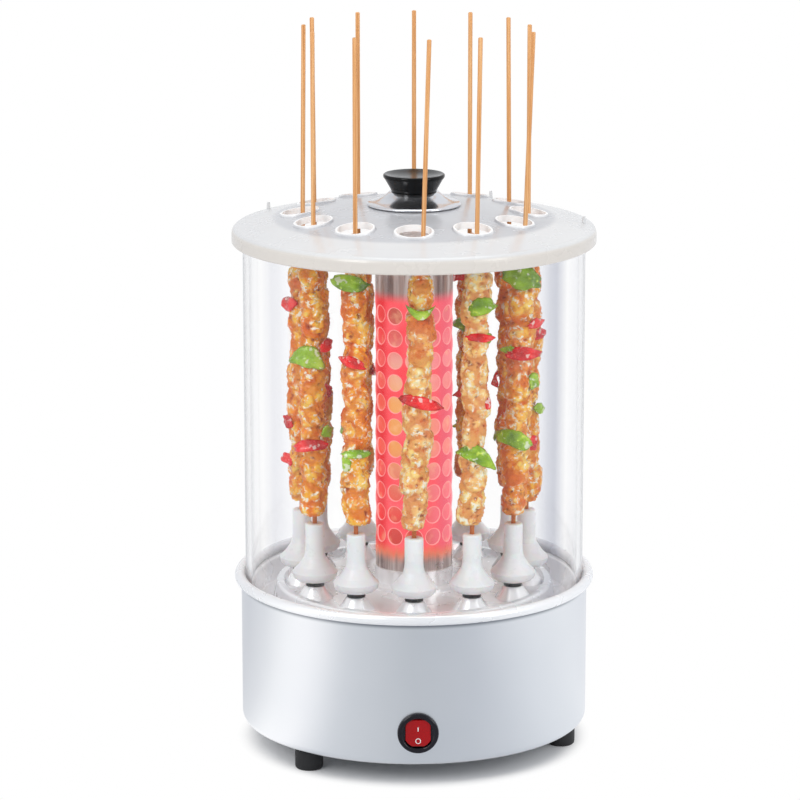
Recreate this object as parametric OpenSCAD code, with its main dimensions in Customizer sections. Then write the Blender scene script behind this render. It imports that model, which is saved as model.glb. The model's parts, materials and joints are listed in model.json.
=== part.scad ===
// Vertical electric skewer grill. A sheet-metal drum carries a stamped drip
// tray, a ring of geared cups turns the skewers past a heater in a perforated
// guard tube, and a glass cylinder with a domed lid closes the cooking space.
// Millimetres. The front faces -Y, +Z is up, and the origin is the centre of
// the plane that the feet rest on.

/* [Drum base] */
// Outside diameter of the drum
body_d = 200; // [196:1:206]
// Height of the drum wall
body_h = 82; // [80:1:96]
// Thickness of the drum's sheet
body_sheet = 1; // [0.8:0.1:1.2]
// Radius of the drum's lower edge
body_edge_r = 4; // [3:0.5:5]
// Width of the flange turned in under the drum
flange_w = 12; // [10:1:14]
// Thickness of the bottom plate
plate_t = 1.5; // [1:0.25:2]

/* [Feet] */
// Height of a rubber foot
foot_h = 12.5; // [9:0.5:16]
// Diameter of a rubber foot
foot_d = 16; // [14:0.5:17]
// Number of feet
foot_count = 3; // [3:1:4]
// Distance from the drum's wall in to a foot's axis
foot_inset = 12.5; // [12:0.5:14]
// Direction of the first foot, from +X
foot_turn = -13; // [-15:1:-11]

/* [Drip tray] */
// Thickness of the tray's sheet
tray_sheet = 1; // [0.8:0.1:1.2]
// Diameter of the rolled rim
bead_d = 6; // [5:0.5:7]
// How far the rim's centre stands out past the drum
bead_over = 0.8; // [0.5:0.1:1.2]
// Width of the ledge under the glass
ledge_w = 4.6; // [4.2:0.2:5.4]
// Depth of the drip channel below the ledge
channel_depth = 13.5; // [11:0.5:15]
// Height of the raised middle above the drip channel
island_h = 13; // [11:0.5:15]
// How far the floor round the cups lies below the raised middle's edge
floor_drop = 3; // [2:0.5:4]
// Width of the raised edge
ridge_w = 2.2; // [1.6:0.2:3]
// Height of a cup's cone above the tray floor
cone_h = 7; // [6:0.5:9]
// Top diameter of a cup's cone
cone_top_d = 10.8; // [10:0.2:11.6]
// Base diameter of a cup's cone
cone_base_d = 20.6; // [19:0.2:21]

/* [Gear train] */
// Module of every gear
gear_module = 1.25; // [1.2:0.01:1.28]
// Teeth of the gear under each cup
spindle_teeth = 20; // [19:1:21]
// Distance from the drum's wall in to the ring of cups
ring_inset = 35; // [34:0.5:38]
// How many teeth fewer the smaller gear under the sun gear has
drive_fewer = 24; // [22:1:30]
// Teeth of the motor's pinion
pinion_teeth = 12; // [11:1:14]
// Width of the sun gear's teeth
gear_face = 7; // [5:0.5:8]
// Width of the smaller gear's teeth
drive_face = 6; // [5:0.5:7]
// Play between meshing teeth along the pitch line
gear_play = 0.5; // [0.4:0.05:0.6]
// Direction of the motor from the centre
motor_turn = 120; // [110:1:130]
// Diameter of the motor's can
motor_d = 50; // [44:1:54]
// Height of the motor's can
motor_h = 20; // [14:1:22]
// Height of the gear deck's top above the resting plane
deck_z = 46; // [44:0.5:48]
// Thickness of the gear deck
deck_t = 2; // [1.5:0.25:2.5]

/* [Cups and skewers] */
// Number of cups
cup_count = 12; // [8:1:12]
// Diameter of a cup's spindle
spindle_d = 6; // [5:0.25:7]
// Diameter of the black shoulder that a cup stands on
shoulder_d = 10.4; // [9.6:0.2:11]
// Height of the black shoulder
shoulder_h = 3; // [2:0.25:4]
// Height of a cup
cup_h = 33.5; // [30:0.5:38]
// Diameter of a cup's neck
cup_neck_d = 10.6; // [10:0.2:12]
// Largest diameter of a cup
cup_flare_d = 25.6; // [22:0.2:27]
// Diameter of a bamboo stick
stick_d = 2.6; // [2.4:0.1:3.2]
// Length of a bamboo stick
stick_l = 300; // [285:5:330]
// Depth of the stick's hole in the cup
stick_hole = 20; // [16:1:22]
// Diameter of the threaded food
food_d = 16.4; // [13:0.2:17]
// Height of the threaded food
food_l = 145; // [100:5:150]
// Clear stick between the cup and the food
food_gap = 5.5; // [4:0.5:9]
// Pieces of meat on a stick
food_count = 12; // [10:1:13]
// Diameter of the pepper slices
pepper_d = 18.6; // [16:0.2:18.8]

/* [Heater] */
// Outside diameter of the guard tube
guard_d = 44.4; // [42:0.2:46]
// Distance from the guard tube's top up to the top of the glass
guard_room = 3.5; // [2.5:0.5:12]
// Thickness of the guard tube's sheet
guard_sheet = 0.8; // [0.6:0.1:1]
// Diameter of the guard tube's holes
guard_hole_d = 9.4; // [7:0.2:9.8]
// Rows of holes up the guard tube
guard_rows = 11; // [6:1:11]
// Distance between the rows
guard_pitch = 12.9; // [12:0.1:13.4]
// Height of the lowest row above the tube's foot
guard_first = 27; // [22:0.5:30]
// Outside diameter of the quartz sleeve
sleeve_d = 20; // [18:0.5:22]
// Wall of the quartz sleeve
sleeve_wall = 1.5; // [1.2:0.1:1.8]
// Turns of the heating coil
coil_turns = 24; // [16:1:24]
// Diameter of the heating wire
wire_d = 1.4; // [1.2:0.1:1.8]

/* [Glass and lid] */
// Distance from the drum's wall in to the glass
glass_inset = 2.5; // [2.3:0.1:3.5]
// Wall of the glass
glass_wall = 3.4; // [3:0.1:3.8]
// Height of the glass
glass_h = 204; // [200:1:230]
// Gap between the glass and the lid's skirt
skirt_gap = 4; // [3:0.1:6]
// Height of the lid's skirt below its edge
skirt_h = 8.4; // [7:0.2:10]
// Rise of the lid from its edge to its middle
lid_rise = 13; // [11:0.5:16]
// Thickness of the lid's dome
lid_wall = 2.2; // [1.8:0.1:2.6]
// Thickness of the skirt
skirt_wall = 2.2; // [1.8:0.1:2.6]
// Radius of the lid's edge
lid_edge_r = 4; // [3:0.5:5]
// Diameter of the lid's skewer holes
lid_hole_d = 20; // [19.6:0.2:21]
// Height of the lip round a skewer hole
lip_h = 1.2; // [0.8:0.1:1.8]
// Diameter of the chrome dish under the knob
dish_d = 53.4; // [48:0.2:60]
// Height of the knob
knob_h = 13.8; // [12:0.2:18]
// Largest diameter of the knob
knob_d = 35.2; // [32:0.2:38]
// Diameter of the knob's foot
knob_foot_d = 27.6; // [24:0.2:29]

/* [Switch and cord bush] */
// Height of the switch above the resting plane
switch_z = 32; // [31:0.5:34]
// Direction of the switch, from -Y
switch_turn = 1.3; // [0:0.1:3]
// Diameter of the switch's bezel
bezel_d = 23.2; // [22.6:0.2:24]
// Thickness of the bezel
bezel_t = 2.2; // [1.8:0.1:2.4]
// Diameter of the switch's case
case_d = 19.8; // [19.4:0.1:20]
// Tilt of the rocker each way from its middle
rocker_tilt = 8.5; // [6:0.5:9]
// Height of the cord bush above the resting plane
bush_z = 28; // [26:1:32]
// Diameter of the bore through the cord bush
bush_bore_d = 6.6; // [6:0.1:7.4]

/* [Hidden] */
$fn = 96;
run_gap = 0.06;
seat_gap = 0.3;
slip_gap = 0.05;
cut = 1;

// Heights of the drum
body_r = body_d / 2;
body_z0 = foot_h;
body_z1 = body_z0 + body_h;
plate_z0 = body_z0 + body_sheet;
plate_z1 = plate_z0 + plate_t;
plate_r = body_r - body_sheet - body_edge_r - 0.5;
flange_r = body_r - body_edge_r - flange_w;

// Feet, with their bolts, and the screws that hold the legs of the gear deck
foot_ring_r = body_r - foot_inset;
foot_recess_z = 6;
foot_recess_r = 4.6;
foot_bolt_r = 2.2;
foot_hole_r = 2.4;
foot_nut_r = 4;
foot_nut_h = 3.2;
leg_head_r = 3.5;
leg_hole_r = 1.7;
deck_screw_r = 1.5;

// Heights and radii of the tray
bead_r = body_r + bead_over;
bead_z = body_z1 + bead_d / 2;
ledge_z = bead_z - bead_d / 3;
channel_z = ledge_z - channel_depth;
island_z = channel_z + island_h;
floor_z = island_z - floor_drop;
cone_z = floor_z + cone_h;
glass_r = body_r - glass_inset;
ledge_r = glass_r + seat_gap - ledge_w + 0.6;
low_r = ledge_r - 1;
tray_bend_r = 1.5;
ledge_turn = 172;
island_draft = 6;
island_turn = 174;

// Gear sizes. The sun gear gets the whole teeth that reach the ring of cups, and
// the smaller gear under it follows.
sun_teeth = round(2 * (body_r - ring_inset) / gear_module) - spindle_teeth;
drive_teeth = sun_teeth - drive_fewer;
ring_r = gear_module * (sun_teeth + spindle_teeth) / 2;
pinion_ring_r = gear_module * (drive_teeth + pinion_teeth) / 2;
addendum = 0.8 * gear_module;
dedendum = 1.2 * gear_module;
pressure = 20;
island_r = ring_r + 14.6;
tray_hole_r = 12.6;

// Stack of the gear train
post_r = 10;
post_bore_r = 7;
post_flange_r = 16;
post_flange_t = 1.2;
hub_r = 15;
drive_z0 = deck_z + post_flange_t + seat_gap;
sun_z0 = drive_z0 + drive_face + 0.5;
sun_z1 = sun_z0 + gear_face;
web_t = 3;
boss_r = 6.5;
boss_z1 = sun_z0 - 2;
spindle_r = spindle_d / 2;
spindle_z0 = deck_z - deck_t;
shoulder_z0 = cone_z + seat_gap;
shoulder_z1 = shoulder_z0 + shoulder_h;
pin_h = 9.5;
motor_shaft_r = 2.5;
motor_z0 = deck_z - deck_t - motor_h;
motor_boss_r = 9;
ear_t = 1.2;
ear_r = motor_d / 2 + 6;
leg_r = 5;
leg_ring_r = flange_r - leg_head_r - 0.5;
leg_turn = 60;
leg_count = 4;

// Cups and skewers
cup_z0 = shoulder_z1;
cup_z1 = cup_z0 + cup_h;
cup_foot_r = 4.2;
cup_foot_turn = -80;
stick_r = stick_d / 2;
stick_z0 = cup_z1 - stick_hole + seat_gap;
food_z0 = cup_z1 + food_gap;
food_r = food_d / 2;

// Glass
glass_z0 = ledge_z;
glass_z1 = glass_z0 + glass_h;

// Heater
guard_r = guard_d / 2;
guard_seat = 5;
guard_z0 = floor_z + guard_seat;
guard_z1 = glass_z1 - guard_room;
guard_columns = 12;
collar_z1 = guard_z0 + 6.6;
collar_in_r = guard_r - 2;
collar_t = 0.6;
collar_foot_w = 5.5;
collar_foot_t = 1.5;
socket_z1 = floor_z + 12;
sleeve_z0 = floor_z + 6;
sleeve_z1 = guard_z1 - 8;
sleeve_r = sleeve_d / 2;
coil_r = sleeve_r - sleeve_wall - seat_gap - wire_d / 2;
coil_z0 = sleeve_z0 + wire_d / 2 + seat_gap;
coil_z1 = sleeve_z1 - wire_d / 2 - seat_gap;
coil_steps = 12;
coil_sides = 6;
cap_t = 1.2;

// Lid
lid_r = glass_r + skirt_gap + skirt_wall;
lid_rim_z = glass_z1 + 1.6;
lid_z0 = lid_rim_z - skirt_h;
dome_r = (lid_r * lid_r + lid_rise * lid_rise) / (2 * lid_rise);
dome_z = lid_rim_z + lid_rise - dome_r;
lid_edge_turn = 80;
rib_gap = 0.5;
rib_w = 1.4;
rib_h = 5;
knob_screw_r = 2;
knob_screw_head_r = 4.2;
dish_r = dish_d / 2;
knob_z0 = lid_top(0) + 3.9;
knob_z1 = knob_z0 + knob_h;
knob_low_turn = 20;
knob_top_turn = 60;
peg_turns = [0, 62, 151];
peg_ring_r = lid_r - 7.2;
peg_h = 4;

// Switch
case_r = case_d / 2;
case_depth = 20;
rocker_r = 8.1;
rocker_w = 14;
rocker_slot_r = 8.6;
rocker_slot_w = rocker_w + 0.6;
rocker_pivot = -1.5;
rocker_pin_r = 1;
cavity_depth = 8;
terminal_w = 6.2;
terminal_t = 0.8;
terminal_l = 8;
terminal_step = 5;

// Cord bush
bush_hole_r = 6;
bush_neck_r = bush_hole_r - slip_gap;
bush_grip_r = 7.4;
bush_rim_r = 8.6;
bush_rim_t = 2.6;
bush_in_l = 4.4;

// Air slots in the bottom plate and holes that lighten the deck and the sun gear
slot_count = 16;
slot_ring_r = 40;
slot_l = 20;
slot_w = 4;
deck_hole_r = 7;
deck_hole_ring_r = 32;
sun_hole_r = (gear_module * drive_teeth / 2 - hub_r) / 2 - 4.75;

// Node names, with two digits for the repeated pieces
function two(i) = str(i < 10 ? "0" : "", i);

// Direction of a cup, from +X: the first one stands at the front
function cup_turn(i) = -90 + (i - 1) * 360 / cup_count;

// Height of the lid's top face at a distance from the axis
function lid_top(r) = dome_z + sqrt(dome_r * dome_r - r * r);

// Points on an arc
function arc(x, y, r, a0, a1, n = 6) =
    [for (i = [0:n]) [x + r * cos(a0 + (a1 - a0) * i / n), y + r * sin(a0 + (a1 - a0) * i / n)]];

// Outline of a bent sheet of one thickness, from its middle line
function side_of(p, q) = [-(q - p)[1], (q - p)[0]] / norm(q - p);
function mitre(a, b) = (a + b) / (1 + a * b);
function sheet_side(path, d) =
    let (n = len(path))
    [for (i = [0:n - 1])
        let (a = side_of(path[max(i - 1, 0)], path[max(i, 1)]),
             b = side_of(path[min(i, n - 2)], path[min(i + 1, n - 1)]))
        path[i] + mitre(a, b) * d];
function sheet_outline(path, t) =
    let (up = sheet_side(path, t / 2), down = sheet_side(path, -t / 2))
    concat(up, [for (i = [len(down) - 1:-1:0]) down[i]]);

// Outline of a gear with involute flanks, with one tooth centred on +X
function inv(a) = tan(a) * 180 / PI - a;
function half_tooth(r, n) =
    let (rp = gear_module * n / 2,
         rb = rp * cos(pressure),
         half = (PI * gear_module / 2 - gear_play / 2) / 2 / rp * 180 / PI)
    half + inv(pressure) - inv(acos(rb / max(r, rb)));
function gear_outline(n) =
    let (rp = gear_module * n / 2, radii = [rp - dedendum, rp, rp + addendum])
    [for (k = [0:n - 1])
        let (a = k * 360 / n)
        each concat(
            [for (r = radii) r * [cos(a - half_tooth(r, n)), sin(a - half_tooth(r, n))]],
            [for (j = [2:-1:0]) radii[j] * [cos(a + half_tooth(radii[j], n)),
                                            sin(a + half_tooth(radii[j], n))]])];

// Turn that puts a gap of the driven gear on a tooth of the driver at angle a
function mesh_turn(a, driver, driven) = a + 180 + 180 / driven + a * driver / driven;

module ring_of(count, r, turn = 0) {
    for (i = [0:count - 1]) rotate([0, 0, turn + i * 360 / count]) translate([r, 0, 0]) children();
}

module tube(r_out, r_in, z0, z1) {
    translate([0, 0, z0]) difference() {
        cylinder(r = r_out, h = z1 - z0);
        translate([0, 0, -cut]) cylinder(r = r_in, h = z1 - z0 + 2 * cut);
    }
}

// Places a child on the drum's wall: x to the right, y up and z outwards
module on_wall(turn, z) {
    rotate([0, 0, turn]) translate([0, -body_r, z]) rotate([90, 0, 0]) children();
}

module screw(head_r, head_h, shank_r, length) {
    rotate_extrude()
        polygon([[0, -head_h], [head_r * 0.75, -head_h], [head_r, -head_h * 0.6], [head_r, 0],
                 [shank_r, 0], [shank_r, length - 0.5], [shank_r - 0.5, length], [0, length]]);
}

module base_shell() {
    wall_r = body_r - body_sheet / 2;
    bend = body_edge_r - body_sheet / 2;
    z_low = body_z0 + body_sheet / 2;
    color("gainsboro") difference() {
        rotate_extrude($fn = 180) polygon(sheet_outline(concat(
            [[wall_r, body_z1]],
            arc(wall_r - bend, z_low + bend, bend, 0, -90),
            [[flange_r, z_low]]), body_sheet));
        on_wall(switch_turn, switch_z)
            translate([0, 0, -5]) cylinder(r = case_r + 0.1, h = 10);
        on_wall(180, bush_z) translate([0, 0, -5]) cylinder(r = bush_hole_r, h = 10);
        ring_of(foot_count, foot_ring_r, foot_turn)
            translate([0, 0, body_z0 - cut]) cylinder(r = foot_hole_r, h = body_sheet + 2 * cut);
    }
}

module bottom_plate() {
    color("silver") difference() {
        translate([0, 0, plate_z0]) cylinder(r = plate_r, h = plate_t);
        ring_of(foot_count, foot_ring_r, foot_turn)
            translate([0, 0, plate_z0 - cut]) cylinder(r = foot_hole_r, h = plate_t + 2 * cut);
        ring_of(leg_count, leg_ring_r, leg_turn)
            translate([0, 0, plate_z0 - cut]) cylinder(r = leg_hole_r, h = plate_t + 2 * cut);
        ring_of(slot_count, slot_ring_r) translate([0, 0, plate_z0 - cut])
            linear_extrude(plate_t + 2 * cut) {
                square([slot_l, slot_w], center = true);
                for (x = [-slot_l / 2, slot_l / 2]) translate([x, 0]) circle(r = slot_w / 2);
            }
    }
}

module rubber_feet() {
    r = foot_d / 2;
    color("black") ring_of(foot_count, foot_ring_r, foot_turn) rotate_extrude()
        polygon([[foot_hole_r, foot_recess_z], [foot_recess_r, foot_recess_z],
                 [foot_recess_r, 0], [r - 1, 0], [r - 0.2, 0.8], [r, 2],
                 [r, foot_h - 2], [r - 0.7, foot_h], [foot_hole_r, foot_h]]);
}

module base_screws() {
    color("darkgray") {
        ring_of(foot_count, foot_ring_r, foot_turn) {
            translate([0, 0, foot_recess_z])
                screw(4, 2.4, foot_bolt_r, plate_z1 + foot_nut_h + 0.8 - foot_recess_z);
            translate([0, 0, plate_z1]) cylinder(r = foot_nut_r, h = foot_nut_h, $fn = 6);
        }
        ring_of(leg_count, leg_ring_r, leg_turn)
            translate([0, 0, plate_z0]) screw(leg_head_r, 2, deck_screw_r, 12);
        rotate([0, 0, motor_turn]) translate([pinion_ring_r, 0, deck_z - deck_t - ear_t])
            for (y = [-ear_r, ear_r]) translate([0, y, 0]) screw(3, 2, deck_screw_r, ear_t + deck_t);
    }
}

module gear_deck() {
    deck_r = leg_ring_r + leg_r + 3;
    color("lightsteelblue") difference() {
        union() {
            translate([0, 0, deck_z - deck_t]) cylinder(r = deck_r, h = deck_t);
            ring_of(cup_count, ring_r, cup_turn(1))
                translate([0, 0, deck_z - cut]) cylinder(r = boss_r, h = boss_z1 - deck_z + cut);
            ring_of(leg_count, leg_ring_r, leg_turn)
                translate([0, 0, plate_z1]) cylinder(r = leg_r, h = deck_z - plate_z1 - cut);
        }
        ring_of(cup_count, ring_r, cup_turn(1)) translate([0, 0, deck_z - deck_t - cut])
            cylinder(r = spindle_r + run_gap, h = boss_z1 - deck_z + deck_t + 2 * cut);
        ring_of(leg_count, leg_ring_r, leg_turn)
            translate([0, 0, plate_z1 - cut]) cylinder(r = deck_screw_r + slip_gap, h = 14);
        translate([0, 0, deck_z - deck_t - cut]) cylinder(r = post_bore_r, h = deck_t + 2 * cut);
        rotate([0, 0, motor_turn]) {
            translate([pinion_ring_r, 0, deck_z - deck_t - cut])
                cylinder(r = motor_boss_r + 0.1, h = deck_t + 2 * cut);
            for (y = [-ear_r, ear_r]) translate([pinion_ring_r, y, deck_z - deck_t - cut])
                cylinder(r = deck_screw_r + slip_gap, h = deck_t + 2 * cut);
            for (a = [60, 120, 180, 240, 300]) rotate([0, 0, a])
                translate([deck_hole_ring_r, 0, deck_z - deck_t - cut])
                    cylinder(r = deck_hole_r, h = deck_t + 2 * cut);
        }
    }
}

module drive_motor() {
    top = deck_z - deck_t;
    color("darkgray") rotate([0, 0, motor_turn]) translate([pinion_ring_r, 0, 0]) difference() {
        union() {
            translate([0, 0, motor_z0]) rotate_extrude() polygon(concat(
                [[0, 0]], arc(motor_d / 2 - 2, 2, 2, -90, 0),
                [[motor_d / 2, motor_h], [0, motor_h]]));
            translate([0, 0, top - cut]) cylinder(r = motor_boss_r, h = deck_t + cut);
            translate([0, 0, top - ear_t]) linear_extrude(ear_t) {
                square([9, 2 * ear_r], center = true);
                for (y = [-ear_r, ear_r]) translate([0, y]) circle(r = 4.5);
            }
        }
        translate([0, 0, motor_z0 + 8])
            cylinder(r = motor_shaft_r + run_gap, h = motor_h + deck_t);
        for (y = [-ear_r, ear_r])
            translate([0, y, top - ear_t - cut]) cylinder(r = deck_screw_r + slip_gap, h = 10);
    }
}

module motor_pinion() {
    color("ivory") rotate([0, 0, motor_turn]) translate([pinion_ring_r, 0, 0])
        rotate([0, 0, mesh_turn(motor_turn, drive_teeth, pinion_teeth) - motor_turn]) {
            translate([0, 0, drive_z0]) linear_extrude(drive_face - 0.2)
                polygon(gear_outline(pinion_teeth));
            translate([0, 0, motor_z0 + 8 + seat_gap])
                cylinder(r = motor_shaft_r, h = drive_z0 + 2 - motor_z0 - 8 - seat_gap);
        }
}

module centre_post() {
    top = floor_z - seat_gap;
    color("silver") rotate_extrude()
        polygon([[post_bore_r, deck_z], [post_flange_r, deck_z],
                 [post_flange_r, deck_z + post_flange_t], [post_r, deck_z + post_flange_t],
                 [post_r, top - 0.5], [post_r - 0.5, top], [post_bore_r, top]]);
}

module sun_gear() {
    rp = gear_module * sun_teeth / 2;
    rd = gear_module * drive_teeth / 2;
    rim_in = rp - dedendum - 4;
    color("ivory") difference() {
        union() {
            translate([0, 0, sun_z0]) linear_extrude(gear_face) polygon(gear_outline(sun_teeth));
            translate([0, 0, drive_z0]) linear_extrude(sun_z0 - drive_z0 + cut)
                polygon(gear_outline(drive_teeth));
            translate([0, 0, drive_z0]) cylinder(r = hub_r, h = sun_z1 + 5 - drive_z0);
        }
        tube(rim_in, hub_r, sun_z0 + web_t, sun_z1 + cut);
        translate([0, 0, drive_z0 - cut])
            cylinder(r = post_r + run_gap, h = sun_z1 + 5 - drive_z0 + 2 * cut);
        ring_of(6, (hub_r + rd) / 2, 30) translate([0, 0, drive_z0 - cut])
            cylinder(r = sun_hole_r, h = sun_z1 - drive_z0);
    }
}

module drip_tray() {
    half = tray_sheet / 2;
    bend = tray_bend_r;
    color("lightgray") difference() {
        union() {
            rotate_extrude($fn = 180) {
                translate([bead_r, bead_z]) circle(r = bead_d / 2, $fn = 48);
                polygon(sheet_outline(concat(
                    [[bead_r - 2, ledge_z - half]],
                    arc(ledge_r + bend, ledge_z - half - bend, bend, 90,
                        ledge_turn, 4),
                    arc(low_r - bend - 0.5, channel_z + bend - half, bend, 0, -90, 4),
                    arc(island_r + bend + 2, channel_z + bend - half, bend, -90,
                        -island_turn, 4),
                    arc(island_r - bend, island_z - bend - half, bend, island_draft,
                        90, 4),
                    [[island_r - bend - ridge_w, island_z - half],
                     [island_r - bend - ridge_w - 1.2, floor_z - half],
                     [tray_hole_r, floor_z - half]]), tray_sheet));
            }
            ring_of(cup_count, ring_r, cup_turn(1)) translate([0, 0, floor_z - half])
                cylinder(r1 = cone_base_d / 2 + 0.35, r2 = cone_top_d / 2, h = cone_h + half);
        }
        ring_of(cup_count, ring_r, cup_turn(1)) {
            translate([0, 0, floor_z - tray_sheet - 0.1])
                cylinder(r1 = cone_base_d / 2 - 0.4, r2 = cone_top_d / 2 - 0.8,
                         h = cone_h + 0.1);
            translate([0, 0, cone_z - tray_sheet - cut])
                cylinder(r = spindle_r + run_gap, h = tray_sheet + 2 * cut);
        }
    }
}

module guard_collar() {
    r = guard_r + slip_gap;
    color("silver") rotate_extrude()
        polygon([[collar_in_r, floor_z], [r + collar_foot_w, floor_z],
                 [r + collar_foot_w - 0.3, floor_z + collar_foot_t],
                 [r + collar_t, floor_z + collar_foot_t + 0.7], [r + collar_t, collar_z1 - 1],
                 [r + 2 * collar_t, collar_z1 - 0.8], [r + 2 * collar_t, collar_z1],
                 [r, collar_z1], [r, guard_z0], [collar_in_r, guard_z0]]);
}

module heater_guard() {
    color("indianred") difference() {
        tube(guard_r, guard_r - guard_sheet, guard_z0, guard_z1);
        for (row = [0:guard_rows - 1])
            translate([0, 0, guard_z0 + guard_first + row * guard_pitch])
                ring_of(guard_columns, guard_r - guard_sheet - cut) rotate([0, 90, 0])
                    cylinder(r = guard_hole_d / 2, h = guard_sheet + 2 * cut, $fn = 48);
    }
}

module guard_cap() {
    r = guard_r - guard_sheet - slip_gap;
    boss_out = sleeve_r + 2;
    recess_z = sleeve_z1 + seat_gap;
    color("silver") difference() {
        rotate_extrude()
            polygon([[0, recess_z], [sleeve_r + slip_gap, recess_z],
                     [sleeve_r + slip_gap, recess_z - 4], [boss_out, recess_z - 4],
                     [boss_out, guard_z1], [r - 1.5, guard_z1], [r - 1.5, guard_z1 - 4],
                     [r, guard_z1 - 4], [r, guard_z1], [guard_r + 0.5, guard_z1],
                     [guard_r + 0.5, guard_z1 + cap_t - 0.4], [guard_r, guard_z1 + cap_t],
                     [0, guard_z1 + cap_t]]);
        ring_of(8, (boss_out + r - 1.5) / 2)
            translate([0, 0, guard_z1 - cut]) cylinder(r = 2.4, h = cap_t + 2 * cut);
    }
}

module heater_socket() {
    r = collar_in_r - 2;
    color("linen") rotate_extrude()
        polygon([[3, floor_z], [r, floor_z], [r, socket_z1 - 4], [r - 4, socket_z1],
                 [sleeve_r + slip_gap, socket_z1], [sleeve_r + slip_gap, sleeve_z0],
                 [3, sleeve_z0]]);
}

module quartz_sleeve() {
    color("mistyrose", 0.5) tube(sleeve_r, sleeve_r - sleeve_wall, sleeve_z0, sleeve_z1);
}

// One unbroken helix of wire. Each ring of points stands square to the wire. The
// least gap is measured between all places of the wire over half a turn apart.
module heating_coil() {
    rise = (coil_z1 - coil_z0) / coil_turns;
    rings = coil_turns * coil_steps;
    lean = atan(rise / (2 * PI * coil_r));
    n = coil_sides;
    points = [for (i = [0:rings], k = [0:n - 1])
        let (a = i * 360 / coil_steps, b = k * 360 / n,
             out = wire_d / 2 * cos(b), up = wire_d / 2 * sin(b))
        [(coil_r + out) * cos(a) + up * sin(lean) * sin(a),
         (coil_r + out) * sin(a) - up * sin(lean) * cos(a),
         coil_z0 + rise * i / coil_steps + up * cos(lean)]];
    sides = [for (i = [0:rings - 1], k = [0:n - 1])
        let (p = i * n + k, q = i * n + (k + 1) % n)
        each [[p, p + n, q], [q, p + n, q + n]]];
    foot = [for (k = [1:n - 2]) [0, k, k + 1]];
    tip = [for (k = [1:n - 2]) [rings * n, rings * n + k + 1, rings * n + k]];
    middle = [for (i = [0:rings]) let (a = i * 360 / coil_steps)
        [coil_r * cos(a), coil_r * sin(a), coil_z0 + rise * i / coil_steps]];
    apart = [for (i = [0:rings - coil_steps / 2], j = [i + coil_steps / 2:rings])
        norm(middle[i] - middle[j])];
    echo(str("least gap of the coil to itself, in mm: ", min(apart) - wire_d));
    color("orangered") polyhedron(points = points, faces = concat(sides, foot, tip));
}

module switch_slot(width, radius, z0, z1) {
    translate([0, 0, z0]) linear_extrude(z1 - z0) intersection() {
        circle(r = radius);
        square([width, 3 * radius], center = true);
    }
}

module switch_body() {
    r = bezel_d / 2;
    color("black") difference() {
        on_wall(switch_turn, switch_z) union() {
            difference() {
                translate([0, 0, -2]) rotate_extrude()
                    polygon(concat([[0, 0], [r, 0]],
                                   arc(r - 1.2, bezel_t + 0.8, 1.2, 0, 90, 4),
                                   [[rocker_slot_r + 0.8, bezel_t + 2],
                                    [rocker_slot_r, bezel_t + 1.4], [0, bezel_t + 1.4]]));
                translate([0, -switch_z, 0]) rotate([-90, 0, 0])
                    translate([0, body_r, 0]) cylinder(r = body_r, h = body_z1, $fn = 180);
            }
            translate([0, 0, -case_depth]) cylinder(r = case_r, h = case_depth);
            for (y = [-terminal_step, 0, terminal_step])
                translate([-terminal_w / 2, y - terminal_t / 2, -case_depth - terminal_l])
                    cube([terminal_w, terminal_t, terminal_l + cut]);
        }
        on_wall(switch_turn, switch_z) {
            switch_slot(rocker_slot_w, rocker_slot_r, -cavity_depth, 10);
            translate([0, 0, rocker_pivot]) rotate([0, 90, 0])
                cylinder(r = rocker_pin_r + run_gap, h = 2 * (case_r - 1.2), center = true);
        }
    }
}

// The rocker at rest is switched on, with its upper half pressed in
module switch_rocker() {
    color("red") on_wall(switch_turn, switch_z) translate([0, 0, rocker_pivot])
        rotate([-rocker_tilt, 0, 0]) {
            intersection() {
                rotate([90, 0, 90]) linear_extrude(rocker_w, center = true)
                    polygon([[-6, -4.5], [6, -4.5], [7.6, -1], [7.5, 3.2], [7.1, 3.6], [0, 2.5],
                             [-7.1, 3.6], [-7.5, 3.2], [-7.6, -1]]);
                cylinder(r = rocker_r, h = 20, center = true);
            }
            rotate([0, 90, 0]) cylinder(r = rocker_pin_r, h = rocker_w + 2.6, center = true);
        }
}

module cord_bush() {
    color("black") difference() {
        on_wall(180, bush_z) rotate_extrude()
            polygon([[0, -bush_in_l], [bush_grip_r - 0.8, -bush_in_l],
                     [bush_grip_r, 1 - bush_in_l], [bush_grip_r, -body_sheet - 0.35],
                     [bush_neck_r, -body_sheet - 0.35], [bush_neck_r, 0], [bush_rim_r, 0],
                     [bush_rim_r, bush_rim_t - 1.2], [bush_rim_r - 1.2, bush_rim_t],
                     [0, bush_rim_t]]);
        on_wall(180, bush_z) translate([0, 0, -6]) cylinder(r = bush_bore_d / 2, h = 12);
        difference() {
            cylinder(r = body_r, h = body_z1, $fn = 180);
            translate([0, 0, -cut]) cylinder(r = body_r - body_sheet, h = body_z1 + 2, $fn = 180);
            on_wall(180, bush_z) translate([0, 0, -5]) cylinder(r = bush_neck_r, h = 10);
        }
    }
}

module glass_cylinder() {
    r = glass_r;
    w = glass_wall;
    color("azure", 0.35) rotate_extrude($fn = 180)
        polygon([[r - w, glass_z0 + 0.5], [r - w + 0.5, glass_z0], [r - 0.5, glass_z0],
                 [r, glass_z0 + 0.5], [r, glass_z1 - 0.5], [r - 0.5, glass_z1],
                 [r - w + 0.5, glass_z1], [r - w, glass_z1 - 0.5]]);
}

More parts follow.
